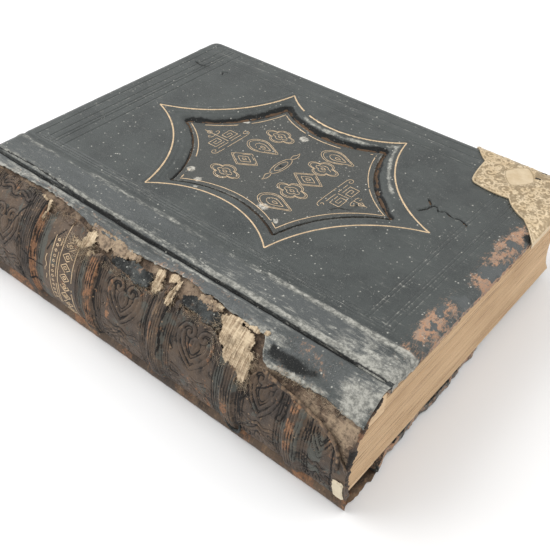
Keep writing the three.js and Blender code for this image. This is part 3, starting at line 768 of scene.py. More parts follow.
def star_panel():
    """The sunken leather panel, cut to the star with a worn, dropped edge."""
    outline = star_outline(**STAR_INNER, shrink=0.4, steps=44)
    rings = np.concatenate([np.linspace(0.02, 0.96, 62), [0.975, 0.985, 0.993, 1.0, 1.0]])
    lips = np.concatenate([np.zeros(62), [0, 0.02, 0.1, 0.4, 1.6]])
    plan = STAR + rings[:, None, None] * (outline - STAR)[None]
    x, y = plan[..., 0], plan[..., 1]
    z = panel_height(x, y) - lips[:, None]
    scar = near(x, y, [[(100, 113), (104, 112), (107, 110), (108, 105), (110, 103), (117, 103)]])
    scar = scar + 0.2 * rough(x, y, 2, 73)
    z = z - 0.6 * bump(scar, 0, 0.8)
    inward = signed_distance(np.stack([x.ravel(), y.ravel()], 1), outline).reshape(x.shape)
    wear = 0.62 * bump(inward, 0.3, 1.3) * (0.6 + 0.9 * rough(x, y, 16, 74))
    wear = wear + 0.16 * np.clip(rough(x, y, 22, 75), 0, 1)
    wear = chipped(wear, x, y, PANEL_CHIPS, 2.6, 78)
    wear = wear + 0.4 * np.clip(rough(x, y, 6, 76), 0, 1) * ramp(x, 128, 140) * bump(y, 172, 14)
    bare = 0.5 * bump(inward, 0, 1.6) * np.clip(rough(x, y, 20, 77), 0, 1)
    bare = bare + 0.6 * bump(np.hypot(x - 76, y - 144), 0, 5)
    columns = len(outline)
    faces = ring_faces(len(rings), columns, reverse=True).tolist()
    faces.append(list(range(columns))[::-1])
    values = dict(wear=wear, bare=bare, dirt_and_shade=1.4 * bump(scar, 0, 0.9))
    points = np.stack([x, y, z], axis=-1)
    piece = make_mesh("star_panel_leather", points, faces, panel_leather, values)
    ridden(face_up(piece), "front_cover", "panel_leather", "star_panel")


def face_up(obj):
    """Turns a sheet whose faces look down the right way up."""
    normals = np.zeros(len(obj.data.polygons) * 3)
    obj.data.polygons.foreach_get("normal", normals)
    if normals[2::3].sum() < 0:
        obj.data.flip_normals()
    return obj


def smooth_line(points, rounds=2):
    """Rounds a polyline's corners by cutting them."""
    points = np.asarray(points, float)
    for _ in range(rounds):
        here, after = points[:-1], points[1:]
        cut = np.stack([0.75 * here + 0.25 * after, 0.25 * here + 0.75 * after], axis=1)
        points = np.concatenate([points[:1], cut.reshape(-1, 2), points[-1:]])
    return points


def resampled(line, step, closed=False):
    """A polyline with its points set evenly along it."""
    line = np.asarray(line, float)
    if closed:
        line = np.concatenate([line, line[:1]])
    along = np.concatenate([[0], np.cumsum(np.hypot(*np.diff(line, axis=0).T))])
    count = max(int(along[-1] / step), 2)
    at = np.linspace(0, along[-1], count + 1)
    return np.stack([np.interp(at, along, line[:, 0]), np.interp(at, along, line[:, 1])], axis=1)


def strokes(name, lines, width, rise, to_space, material, gaps=0.0, seed=1, step=0.9):
    """Crowned ribbons along plan polylines; to_space turns (u, v, lift) into book points.

    gaps is the share of each line that has rubbed away."""
    points, faces = [], []
    for number, (line, closed) in enumerate(lines):
        line = resampled(line, step, closed)
        ahead = np.gradient(line, axis=0)
        if closed:
            wrap = line[1] - line[-2]
            ahead[0] = ahead[-1] = wrap / 2
        length = np.maximum(np.hypot(*ahead.T), 1e-9)
        side = np.stack([-ahead[:, 1], ahead[:, 0]], axis=1) / length[:, None]
        keep = np.ones(len(line), bool)
        if gaps:
            keep = rough(line[:, 0] + 31 * number, line[:, 1], 7, seed, 3) > (gaps * 2 - 1) * 0.6
        thin = 0.82 + 0.25 * rough(line[:, 0], line[:, 1], 3, seed + 3)
        start = len(points)
        for share, lift in ((-0.5, -0.15), (-0.3, rise), (0.3, rise), (0.5, -0.15)):
            at = line + side * (share * width * thin)[:, None]
            points.extend(to_space(at[:, 0], at[:, 1], lift))
        count = len(line)
        for i in range(count - 1):
            if not (keep[i] and keep[i + 1]):
                continue
            for row in range(3):
                a = start + row * count + i
                faces.append([a, a + 1, a + count + 1, a + count])
            if i == 0 or not keep[i - 1]:
                faces.append([start + row * count + i for row in range(4)])
            if i + 2 >= count or not keep[i + 2]:
                faces.append([start + row * count + i + 1 for row in range(4)])
    return tidy(make_mesh(name, points, faces, material), 0.000005)


def on_panel(x, y, lift):
    return np.stack([x, y, panel_height(x, y) + lift], axis=1)


def on_cover(x, y, lift):
    return np.stack([x, y, cover_top(x, y) + lift], axis=1)


def gilt_ornament():
    """Gilt lines of the star, two rows of plain ornaments, two finials and an almond."""
    ring = star_outline(**STAR_OUTER, steps=60)
    gap = int(np.hypot(*(ring - (183, 195)).T).argmin())
    ring = np.roll(ring, -gap, axis=0)[2:-1]
    line = strokes("star_outer_gilt", [(ring, False)], 1.65, 0.12, on_cover, gilt_line, 0, 5)
    ridden(face_up(line), "front_cover", "brass")
    inner = star_outline(tip=84.5, side_x=55.8, side_y=41, side_hollow=12, slope_hollow=8.2, steps=60)
    whole = [(inner[240:], False), (inner[:60], False), (inner[60:120], False)]
    worn_lines = [(inner[120:180], False), (inner[180:240], False)]
    piece = strokes("star_inner_gilt", whole[:2], 0.95, 0.1, on_panel, gilt_line, 0.02, 15)
    ridden(face_up(piece), "front_cover", "brass")
    piece = strokes("star_inner_gilt_worn", worn_lines + whole[2:], 1.0, 0.1, on_panel, gilt_line, 0.42, 25)
    ridden(face_up(piece), "front_cover", "brass")

    turn = np.linspace(0, 2 * math.pi, 65)[:-1]

    def diamond(size):
        """A lozenge with hollow sides."""
        c, s = np.cos(turn), np.sin(turn)
        return np.stack([np.sign(c) * np.abs(c) ** 1.9, np.sign(s) * np.abs(s) ** 1.9], 1) * size

    def four_lobes(size):
        radius = 0.62 + 0.38 * np.abs(np.cos(2 * turn)) ** 0.8
        return np.stack([radius * np.cos(turn), radius * np.sin(turn)], 1) * size

    def leaf(size):
        """A pointed leaf shape with a waist below its middle."""
        height = np.sin(turn)
        half = np.cos(turn) * (0.62 + 0.38 * np.sin(1.5 * height + 0.6))
        return np.stack([half, height * (1 + 0.12 * np.abs(height))], 1) * size

    motifs = []
    upper_row = ((89, four_lobes), (109, diamond), (129, leaf), (148, four_lobes))
    lower_row = ((84, leaf), (101.5, four_lobes), (118.5, diamond), (135.5, four_lobes), (152.5, leaf))
    for y, row in ((192, upper_row), (144, lower_row)):
        for x, shape in row:
            for across, tall in ((8.2, 12.0), (6.9, 10.4), (3.6, 6.0), (1.1, 2.0)):
                motifs.append((shape(np.array([across, tall])) + (x, y), True))
    for flip in (1, -1):
        base = STAR[1] + flip * 43.5

        def at(points):
            points = np.asarray(points, float)
            return np.stack([STAR[0] + points[:, 0], base + flip * points[:, 1]], axis=1)

        for side in (1, -1):
            sign = np.array([side, 1])
            curl = [
                (0, 0), (13, 0), (18, 0.4), (19.3, 3.0), (17, 5.2), (14.6, 4.0), (15.2, 2.2), (16.6, 2.6),
            ]
            motifs.append((at(smooth_line(np.array(curl) * sign, 2)), False))
            motifs.append((at(np.array([(1.5, 3.6), (12, 3.6)]) * sign), False))
            key = [
                (2.6, 6.2), (11.6, 6.2), (11.6, 13.6), (2.6, 13.6),
                (2.6, 8.6), (8.8, 8.6), (8.8, 11.2), (5.2, 11.2),
            ]
            motifs.append((at(np.array(key) * sign), False))
            bar = [(0.8, 17), (4.0, 17), (5.8, 18.6), (4.2, 20.4), (2.8, 19.2)]
            motifs.append((at(smooth_line(np.array(bar) * sign, 2)), False))
        motifs.append((at([(0, 4.5), (0, 27.5)]), False))
        motifs.append((at(np.array([(-2, 22.5), (0, 25.6), (2, 22.5), (0, 20.6)])), True))
    u = np.linspace(0, math.pi, 30)
    for size in (1.0, 0.62):
        half = size * np.stack([-11 * np.cos(u), 4 * np.sin(u)], 1)
        motifs.append((np.concatenate([STAR + half, (STAR - half)[1:-1]]), True))
    for side in (1, -1):
        tail = [(11, 0.4), (15, 2.4), (18, 0), (21.5, 0.4), (18, -1.6), (14.5, -2.0), (11, -0.4)]
        motifs.append((smooth_line(np.array(tail) * (side, 1) + STAR, 2), False))
    piece = strokes("panel_ornament_gilt", motifs, 0.55, 0.1, on_panel, gilt_line, 0.06, 35, 0.6)
    ridden(face_up(piece), "front_cover", "brass")


def back_cover():
    """The back cover's leather, its tail edge worn away towards the fore-edge."""
    (left, tail, _), (right, head, thick) = book_box("back_leather")
    plate = (max(left, 0.4), right, tail, head, (0.4, 14, 9, 0.4))
    xs = spaced(plate[0], right, 1.6)
    ys = spaced(tail, head, 1.6)
    X, Y, px, py, edge, drop, past, keep = cover_grid(plate, xs, ys)
    flatness = 1 - np.clip(edge / 5, 0, 1)
    z = 0.02 + 1.6 * flatness**2 * (edge < 5) + drop * (thick - 1.7) / EDGE_WALL
    z = z + 0.25 * np.clip(rough(px, py, 30, 81), 0, 1) * (past == 0)
    groove = np.minimum(
        np.minimum(np.abs(px - 30), np.abs(px - 205)), np.minimum(np.abs(py - 26), np.abs(py - 304)),
    )
    z = z + 0.4 * bump(groove, 0, 1.0) * (past == 0)
    z = np.where(past >= EDGE_WALL, thick - 0.02, z)
    frayed = (past > 0) * (past < EDGE_WALL)
    px = px + 0.7 * rough(X, Y, 8, 82) * frayed
    py = py + 0.8 * rough(X, Y, 6, 83) * frayed
    py = worn_tail(px, py)
    wear = 0.5 * (1 - np.clip(edge / 6, 0, 1)) * (0.6 + 0.8 * rough(X, Y, 14, 84))
    wear = wear + 0.3 * np.clip(rough(X, Y, 30, 85), 0, 1)
    bare = 0.9 * (past > 0) * (0.72 + 0.9 * rough(X, Y, 7, 86))
    bare = bare + 0.3 * (1 - np.clip(edge / 8, 0, 1)) * rough(X, Y, 9, 87)
    dirt_and_shade = (past > 0) * (0.2 + 1.2 * rough(X, Y, 5, 88)) + 0.5 * (past > EDGE_WALL)
    dirt_and_shade = dirt_and_shade + 0.5 * bump(groove, 0, 1.2)
    points = np.stack([px, py, z], axis=-1)
    faces = grid_faces(*px.shape, keep)[:, ::-1]
    values = dict(wear=wear, bare=bare, dirt_and_shade=dirt_and_shade)
    piece = make_mesh("back_cover_leather", points, faces, cover_leather, values)
    ridden(tidy(piece), "back_cover", "cover_leather", "back_leather")


def worn_tail(x, y):
    """Pulls the back cover's tail edge in where the board has worn away."""
    ragged = 1.6 * rough(x, 0 * x, 15, 89, 5) + 0.9 * rough(x, 0 * x, 3.5, 90)
    missing = 3.8 + 6.8 * ramp(x, 112, 146) + ragged * ramp(x, 2, 14) - 3.4 * (1 - ramp(x, -2, 16))
    return y + missing * ramp(-y, -24, -1)


def worn_slab(name, node, material, slot, inset=0.0):
    """A board or lining sheet of the back cover with the same worn tail edge."""
    low, high = book_box(node)
    xs = np.linspace(low[0], high[0] - 0.3, 150)
    ys = np.linspace(low[1] + inset, high[1] - inset, 60)
    plate = (xs[0], xs[-1], ys[0], ys[-1], (0.5, 14, 9, 0.5))
    X, Y = np.meshgrid(xs, ys)
    px, py = rounded(X, Y, plate, 0.0)
    py = worn_tail(px, py)
    sheets = [np.stack([px, py, np.full_like(px, z)], axis=-1) for z in (low[2], high[2])]
    faces = grid_faces(*X.shape)
    index = np.arange(X.size).reshape(X.shape)
    rim = np.concatenate([index[0, :-1], index[:-1, -1], index[-1, :0:-1], index[:0:-1, 0]])
    after = np.roll(rim, -1)
    walls = np.stack([rim, after, after + X.size, rim + X.size], axis=-1)
    everything = np.concatenate([faces[:, ::-1], faces + X.size, walls])
    piece = make_mesh(name, sheets, everything, material, flat=True)
    ridden(piece, "back_cover", slot, node)


def covers():
    front_cover()
    star_panel()
    gilt_ornament()
    back_cover()
    worn_slab("back_board_worn", "back_board", pasteboard, "pasteboard", 0.4)
    worn_slab("back_pastedown_worn", "back_pastedown", end_paper, "end_paper")

# ------------------------------------------------------------------ spine

# Angles round the back, from the fore-edge's side over the top: the spine's upper and lower ends.
SHOULDER = 118.0
FOOT = 203.5
ARC = math.radians(FOOT - SHOULDER) * (BACK_R + SKIN)
# Where the leather over the spine is torn off: (place along the book, distance down the spine).
TORN_EDGE = (
    (0, 46), (4, 41.5), (10.5, 33.5), (18, 30), (28.5, 27.5), (36, 26), (45, 24.8), (55, 23.5), (63, 22), (67, 27),
    (70, 31), (75, 31), (80, 28), (88, 26), (96, 20), (102, 17), (110, 18), (122, 17), (128, 14), (131, 20), (136, 19),
    (139, 13), (146, 18), (152, 19), (160, 20), (170, 18), (182, 17), (190, 15), (198, 17), (204, 14), (208, 8),
    (220, 6), (230, 6), (238, 7), (241, 11), (247, 11), (250, 5), (262, 2.5), (290, 3.5), (331, 4),
)


def down_at(z):
    """Distance down the spine from the shoulder at a height above the table."""
    degrees = 180 - np.degrees(np.arcsin(np.clip((np.asarray(z, float) - BACK_Z) / (BACK_R + SKIN), -1, 1)))
    return np.radians(degrees - SHOULDER) * (BACK_R + SKIN)


def back_at(down, y, lift):
    """Book points at a distance down the spine; negative is over the shoulder on the flat joint."""
    down, y, lift = np.broadcast_arrays(down, y, lift)
    degrees = SHOULDER + np.degrees(np.maximum(down, 0) / (BACK_R + SKIN))
    points = on_back(SKIN + lift, degrees, y)
    flat = down < 0
    points[..., 0] = np.where(flat, points[..., 0] - down, points[..., 0])
    return points


def torn_edge(y):
    """How far down the spine its leather is torn off, with the tear's small steps."""
    ys, downs = np.array(TORN_EDGE, float).T
    return np.interp(y, ys, downs) + 1.1 * rough(y, 0 * y, 6, 91, 4) + 0.7 * rough(y, 0 * y + 5, 1.8, 92)


# Half of the figure embossed in each compartment: (distance from its middle, distance down).
HEART = (
    (
        (0, 48), (4, 43.5), (7.6, 38), (9.6, 32), (9.6, 26.5), (7.2, 22.5),
        (4, 22), (1.7, 24.6), (2.2, 28), (4.6, 28.4), (4.8, 26.2),
    ),
    ((0, 43), (3.2, 39.5), (6, 35), (7.2, 31), (7.4, 27.5)),
    ((0, 37), (2.2, 33.5), (1.9, 30.5), (0, 27.5), (0, 37)),
    ((1, 12), (4, 8.5), (8, 9.5), (11.5, 12.5), (13.6, 9), (12, 5), (8, 4.5)),
    ((0, 10), (0, 2)),
    ((0, 54), (4, 57), (8, 54.5), (12, 53), (14, 57), (12, 61), (8.5, 60)),
    ((0, 58), (3, 62), (7, 64.5), (11, 65), (13.5, 69), (11, 73), (7.5, 71), (8, 68)),
    ((0, 63), (2.4, 68), (0, 74)),
    ((12.5, 42), (14.5, 38), (14.8, 33)),
)
HEART_CENTRES = ((17.5, 0.78), (57.5, 1.0), (108.5, 1.28), (166, 1.3), (279.5, 1.15), (318.5, 0.52))
# Stripes across the spine, stripped or still slate: (place, half width, lowest z, highest z, share).
BARE_STRIPES = (
    (247.5, 2.6, 8, 72, 1.0), (194, 3.6, 12, 60, 1.0), (177.5, 2.0, 30, 58, 0.75), (36.5, 3.0, 25, 57, 0.85),
    (81, 2.6, 18, 34, 0.9), (141.5, 1.2, 14, 50, 0.6), (305, 2.4, 10, 60, 0.7), (96, 1.2, 10, 60, 0.5),
)
SLATE_STRIPES = (
    (240.5, 3.0, 6, 70, 1.0), (201.5, 3.0, 20, 60, 1.0), (32.0, 2.0, 20, 60, 1.0), (87, 3.4, 8, 60, 0.9),
    (132, 2.5, 15, 60, 0.8), (300, 3, 10, 60, 0.8), (76, 2.5, 40, 56, 1.0), (20, 5, 20, 46, 0.8),
)
# Cracks in the spine's leather, as (place along the book, height above the table).
SPINE_CRACKS = (
    ((238, 38), (246, 37), (252, 40), (258, 42), (263, 47)), ((241, 23), (247, 24), (251, 22.5)),
    ((203, 12), (207, 9), (204, 4)), ((133, 62), (134, 50), (132, 38), (134, 30)),
    ((66, 44), (72, 36), (70, 24)), ((9, 52), (9.8, 42), (8.4, 30), (9.2, 18), (8.8, 9)),
    ((250, 70), (251, 60), (249.5, 48), (251, 34)), ((262, 66), (268, 60), (272, 52)),
    ((45, 60), (52, 57), (58, 52), (62, 50)), ((189, 64), (188, 52), (189.5, 40), (188, 26)),
    ((145, 64), (146, 50), (144.6, 36)), ((226, 64), (232, 58), (236, 50)),
)


def spine_surface(down, y):
    """Rise of the spine's leather above its plain skin, with its wear."""
    rise = 0.3 * rough(down, y, 9, 101) + 0.22 * rough(down, y, 2.6, 102, 5)
    wear = 0.1 + 0.55 * rough(down, y, 7, 103, 5)
    dirt_and_shade = 0.2 + 0.75 * rough(down, y, 5, 104, 5)
    for band in BANDS:
        away = np.abs(y - band + 0.5 * rough(down, 0 * down, 18, band))
        crest = 1 - ramp(away, 3.6, 6.4)
        rib = (y - band) / 1.9 + 0.25 * rough(down, y, 9, band + 1)
        ridges = np.cos(rib * 2 * math.pi)
        rise = rise + (BAND_RISE - 0.75) * crest + 0.3 * ridges * crest
        wear = wear + 0.25 * crest * (ridges > 0.3)
        # Darkened in the troughs between the band's ribs and at the band's foot, where it sinks.
        dirt_and_shade = dirt_and_shade + 0.75 * crest * ramp(-ridges, 0.0, 0.9) + 0.7 * bump(away, 6.4, 1.0)
        for line in (8.0, 9.6, 11.4):
            rise = rise - 0.4 * bump(away, line, 0.6) + 0.2 * bump(away, line + 0.85, 0.5)
            # Darkened in the sunken blind lines.
            dirt_and_shade = dirt_and_shade + 0.9 * bump(away, line, 0.55)
    for centre, stretch in HEART_CENTRES:
        v = np.abs(y - centre + 0.5 * rough(down, y, 15, 118)) / stretch
        near_here = v < 17
        flat = np.stack([v[near_here], down[near_here] + 0.7 * rough(down, y, 14, 119)[near_here]], axis=1)
        best = np.full(len(flat), 1e9)
        for line in HEART:
            best = np.minimum(best, line_distance(flat, smooth_line(line, 2)))
        best = best + 0.3 * rough(flat[:, 0] * 3, flat[:, 1] * 3, 4, 105)
        limit = 9.0 if centre in (17.5, 318.5) else 15.5
        rubbed = 0.45 + 0.55 * ramp(rough(down, y, 11, 117), -0.35, 0.15)
        gate = ((1 - ramp(v * stretch, limit, limit + 2.5)) * rubbed)[near_here]
        rise[near_here] += gate * (0.5 * np.exp(-((best / 0.6) ** 2)) - 0.42 * bump(best, 1.35, 0.6))
        # Darkened along the figure's sunken outline and just outside it.
        dirt_and_shade[near_here] += gate * (1.15 * bump(best, 1.35, 0.62) + 0.5 * bump(best, 2.6, 0.5))
        wear[near_here] += gate * 0.22 * np.exp(-((best / 0.5) ** 2))
    return rise, wear, dirt_and_shade


def stripe(y, down, centre, half, low_z, high_z):
    """1 in a stripe across the spine between two heights, with ragged ends."""
    top, bottom = down_at(high_z), down_at(low_z)
    edge = 1.4 * rough(down, y, 5, 111)
    across = 1 - ramp(np.abs(y - centre + 0.5 * edge), half * 0.7, half * 1.15)
    return across * ramp(down, top - 3, top + 3 + edge) * (1 - ramp(down, bottom - 3, bottom + 3))


def spine_leather_piece():
    """The worn, torn and embossed leather of the spine, turned in at both ends and along the tear."""
    steps, rows = 560, 118
    ys = np.concatenate([np.zeros(3), np.linspace(0.0, SPINE_LENGTH, steps), np.full(3, SPINE_LENGTH)])
    sinks = np.concatenate([[4.0, 2.0, 0.6], np.zeros(steps), [0.6, 2.0, 4.0]])
    shares = np.concatenate([np.zeros(3), np.linspace(0, 1, rows) ** 0.96])
    lips = np.concatenate([[-1.5, -1.3, -0.3], np.zeros(rows)])
    y = np.broadcast_to(ys[:, None], (len(ys), len(shares))).copy()
    top = torn_edge(ys)
    down = top[:, None] + (ARC - top[:, None]) * shares[None]
    rise, wear, dirt_and_shade = spine_surface(down, y)
    from_edge = down - top[:, None]
    torn = (1 - ramp(from_edge, 0, 3.2)) * (y < 252)
    rise = rise * ramp(from_edge, 0, 2.0) + torn * (0.9 + 0.8 * rough(down, y, 4, 106))
    lift = np.minimum(rise + lips[None] - sinks[:, None], 3.2)
    curl = 0.5 * rough(down, 0 * down, 6, 107) * (np.minimum(y, SPINE_LENGTH - y) < 0.5)
    points = back_at(down, y + curl * (y < 1) - curl * (y > SPINE_LENGTH - 1), lift)
    points[..., 2] = np.maximum(points[..., 2], 1.1)
    bare = 0 * y
    patchy = 0.78 + 0.5 * rough(down, y, 4, 108)
    for *place_of, share in BARE_STRIPES:
        bare = np.maximum(bare, share * stripe(y, down, *place_of) * patchy)
    bare = bare + 0.7 * rough(down, y, 7, 109, 6) + 0.4 * rough(down, y, 2.2, 114, 4)
    bare = bare + 0.4 * torn * rough(down, y, 4, 110)
    slate = 0 * y
    for *place_of, share in SLATE_STRIPES:
        slate = np.maximum(slate, share * stripe(y, down, *place_of))
    slate = slate + 0.1 + 1.2 * np.clip(rough(down, y, 5.5, 112, 6), -0.4, 1)
    for line in SPINE_CRACKS:
        plan = np.array([(v, down_at(z)) for v, z in line])
        cracks = near(y, down, [plan]) + 0.3 * rough(down, y, 2, 113)
        dirt_and_shade = dirt_and_shade + 1.9 * bump(cracks + 0.3 * rough(down, y, 1.4, 116), 0, 0.75)
    values = dict(wear=wear + 0.5 * torn, bare=bare, dirt_and_shade=dirt_and_shade, slate=np.clip(slate, 0, 1))
    piece = make_mesh("spine_worn_leather", points, grid_faces(*y.shape), spine_leather, values)
    nodes = ["spine_leather"] + [f"raised_band_{i + 1}" for i in range(len(BANDS))]
    ridden(tidy(piece), "text_block", "spine_leather", *nodes)


def spine_gilt():
    """Plain gilt rules, lozenges and a leaf spray in the title panel."""

    def on_spine(y, down, lift):
        rise = spine_surface(np.asarray(down, float), np.asarray(y, float))[0]
        return back_at(down, y, np.maximum(rise, 0.0) + lift)

    lines = []
    lozenge = np.array([(-1, 0), (0, -1), (1, 0), (0, 1)])
    centre = down_at(39)
    for i in range(-4, 5):
        for size in ((4.4, 3.0), (1.7, 1.2)):
            lines.append((lozenge * size + (217.0, centre + i * 7.2), True))
    for y, low_z, high_z in ((210.6, 8, 63), (223.4, 10, 68), (225.3, 14, 60), (231.2, 14, 60)):
        lines.append((np.array([(y, down_at(high_z)), (y, down_at(low_z))]), False))
    for i in range(-6, 7):
        lines.append((lozenge * (1.2, 0.9) + (228.2, centre + i * 3.6), True))
    spray = [(0, -9), (1.4, -5), (-1.4, -1.5), (1.4, 1.5), (-1.4, 5), (0, 9)]
    lines.append((smooth_line(np.array(spray) + (235, centre), 2), False))
    piece = strokes("spine_ornament_gilt", lines, 0.7, 0.12, on_spine, gilt_line, 0.16, 45, 0.6)
    ridden(piece, "text_block", "brass")


# The lower edge of the leather over the front joint: (place along the book, distance down).
STRIP_EDGE = (
    (0, 20), (10, 19), (20, 17.5), (28.5, 16.5), (45, 18.5), (62, 20), (65, 18.5), (69, 11), (72, 5.5),
    (84, 5), (98, 4.5), (105, 3.5), (120, 3), (141, 2), (160, 4), (174.5, 5.5), (195, 5), (215, 3.5),
    (240, 1), (262, -0.5), (290, 1), (330, 2),
)
# The strip's tuck under the cover at the crack: (x, z).
STRIP_TUCK = ((-0.1, 70.9), (0.5, 69.9), (1.3, 70.2), (2.8, 70.8))


def strip_wear(d, y, low, closing):
    """Where the leather over the front joint is scuffed, stripped and dirty, with painted shade where it turns down
    into the crack.
    """
    from_low = low - d
    fray = 1 - ramp(from_low, 0, 2.6)
    fibrous = bump(y, 42, 26) * bump(from_low, 2.2, 3.2)
    wear = 0.36 + 0.7 * rough(d * 3, y * 0.4, 14, 126) + 0.75 * fray * (0.5 + rough(d, y, 6, 127))
    wear = wear + 0.25 * bump(d, -4.8, 1.6)
    wear = wear - 1.2 * bump(y, 40, 24) * (fibrous < 0.2) + 0.95 * fibrous
    wear = wear + 0.75 * ramp(-y, -27, -10) * ramp(d, -5, 3) * (0.6 + rough(d, y, 7, 131))
    stain = bump(y + 9 * rough(d, y, 9, 132), 50, 22) * bump(d + 2.5 * rough(d, y, 6, 133), 11, 7.0)
    # Painted shade where the strip turns down into the crack under the cover's edge, eased below where the crack
    # closes near the tail; the second term is a stain.
    dirt_and_shade = 1.6 * ramp(-d, 5.9, 6.5) + 1.9 * stain * (1 - fibrous)
    dirt_and_shade = dirt_and_shade + 0.3 * np.clip(rough(d, y, 12, 128), 0, 1) - 0.9 * closing * ramp(-d, 4.5, 6)
    bare = 0.45 * fray * np.clip(rough(d, y, 9, 129), 0, 1)
    bare = bare + 0.2 + 0.45 * rough(d * 2, y * 0.6, 11, 135) - 0.4 * ramp(-d, 3, 6)
    return dict(wear=wear, bare=bare, dirt_and_shade=dirt_and_shade, slate=0.55 + rough(d, y * 0.3, 14, 139))


def joint_strip():
    """The strip of leather over the front joint, torn along its lower edge, folding at the crack."""
    ys = np.linspace(0, SPINE_LENGTH, 480)
    y = ys[:, None]
    low = np.interp(ys, *np.array(STRIP_EDGE, float).T)
    low = (low + 1.3 * rough(ys, 0 * ys, 7, 121, 4) + 0.7 * rough(ys, 0 * ys, 1.5, 122))[:, None]
    right = -6.9
    down = low + (right + 0.6 - low) * np.linspace(0, 1, 34)[None]
    from_low = low - down
    lift = 0.3 + 0.45 * rough(down * 1.6, y * 0.7, 9, 123)
    lift = lift + 0.8 * (1 - ramp(from_low, 0, 2.4)) * (0.4 + rough(down, y, 4, 124))
    lift = lift - 0.9 * ramp(-down, 4.6, 6.4)
    main = back_at(down, y, lift)
    main[..., 0] = main[..., 0] + (wander(y) - 0.2) * ramp(-down, 1, 6)
    lip = back_at(low + [-1.5, -0.2], y, np.array([[-1.3, -1.2]]))
    closing = ramp(-ys, -34, -14)
    tuck = np.zeros((len(ys), len(STRIP_TUCK), 3))
    for k, (x, z) in enumerate(STRIP_TUCK):
        tuck[:, k, 0], tuck[:, k, 1] = x + wander(ys), ys
        tuck[:, k, 2] = z + (72.1 - z) * closing * 0.9 + 0.15 * rough(ys, 0 * ys, 4, 125 + k)
    points = np.concatenate([lip, main, tuck], axis=1)
    points[..., 2] = np.minimum(points[..., 2], 73.6)
    shape = points.shape[:2]
    d = np.concatenate([np.repeat(low, 2, axis=1), down, np.full(tuck.shape[:2], right)], axis=1)
    values = strip_wear(d, np.broadcast_to(y, shape), low, closing[:, None])
    piece = tidy(make_mesh("front_joint_leather", points, grid_faces(*shape), cover_leather, values))
    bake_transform(piece)


def back_joint():
    """The leather from the foot of the spine along the table to the back cover."""
    ys = np.linspace(-1.4, 328.4, 330)
    path = [on_back(SKIN - 0.4, 201.5, 0), on_back(SKIN + 0.1, FOOT, 0)]
    path += [(-31.0, 0, 5.2), (-31.4, 0, 3.0), (-30.8, 0, 1.0), (-29, 0, 0.25)]
    path += [(x, 0, 0.25) for x in np.linspace(-26, 0, 14)] + [(1.5, 0, 0.4)]
    points = np.repeat(np.array(path, float)[None], len(ys), axis=0)
    x, y, z = np.moveaxis(points, -1, 0)
    y[:] = ys[:, None]
    ends = np.minimum(ys - ys[0], ys[-1] - ys)[:, None] < 0.5
    x += 0.35 * rough(y, x, 8, 131) * (x < -28)
    y += ends * rough(x, 0 * x, 5, 132) * 0.5
    chewed = 1.1 + 1.5 * rough(x, z, 5, 137) + 0.8 * rough(x, z, 1.4, 138)
    y += np.clip(chewed, 0, 3) * ramp(-y, -6, 0) * (x > -30)
    crumbled = ramp(-y, -5, 0) * (x > -29) * (x < 0)
    z += crumbled * (0.7 + 1.3 * rough(x, y, 3, 136))
    values = dict(
        wear=0.35 + 0.5 * rough(x, y, 10, 133) + 0.5 * crumbled,
        bare=0.4 + 0.8 * rough(y, x, 14, 135), dirt_and_shade=0.3 + 0.6 * rough(y, z, 9, 134),
    )
    faces = grid_faces(*x.shape)[:, ::-1]
    piece = tidy(make_mesh("back_joint_worn_leather", points, faces, spine_leather, values))
    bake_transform(piece)
    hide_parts("back_joint_leather")


def under_lining():
    """The paper and cloth that show where the leather over the spine's upper edge has gone."""
    ys = np.linspace(0.6, 329.4, 330)
    downs = np.linspace(-5.6, 54, 72)
    y, down = np.meshgrid(ys, downs, indexing="ij")
    lift = -1.9 + 0.35 * rough(down, y, 14, 141) + 0.22 * rough(down, y, 3, 142)
    lift = lift - 0.7 * bump(y, 232, 9) * bump(down, 8, 9)
    points = back_at(down, y, lift)
    piece = make_mesh("spine_torn_lining", points, grid_faces(*y.shape), torn_lining)
    ridden(piece, "text_block", "linen", "front_joint_lining")


def end_fray():
    """Dark torn leather and glue left along the leaves' corner at the tail, from the cover to the foot."""
    downs = np.linspace(1.5, ARC - 4, 190)
    across = np.array([-0.55, -0.3, 0.3, 1.1, 1.5])
    thick = 0.75 + 0.8 * rough(downs, 0 * downs, 7, 165, 5) + 0.4 * rough(downs, 0 * downs, 1.6, 166)
    thick = np.clip(thick, 0.25, 1.5)[:, None]
    rise = np.array([-2.4, -0.6, 0.5, 0.2, -1.2]) + 0.5 * rough(downs[:, None], across[None], 2.0, 167)
    y = 0.1 + across * thick * 1.3
    points = back_at(downs[:, None], y, -1.0 + rise * thick)
    values = dict(
        wear=rough(points[..., 1] * 3, downs[:, None], 3, 168),
        bare=0.5 + rough(downs[:, None], y, 5, 169), dirt_and_shade=0.7 + rough(downs[:, None], y, 4, 170),
    )
    piece = make_mesh("tail_end_torn_leather", points, grid_faces(*y.shape), spine_leather, values)
    ridden(piece, "text_block", "worn_leather")


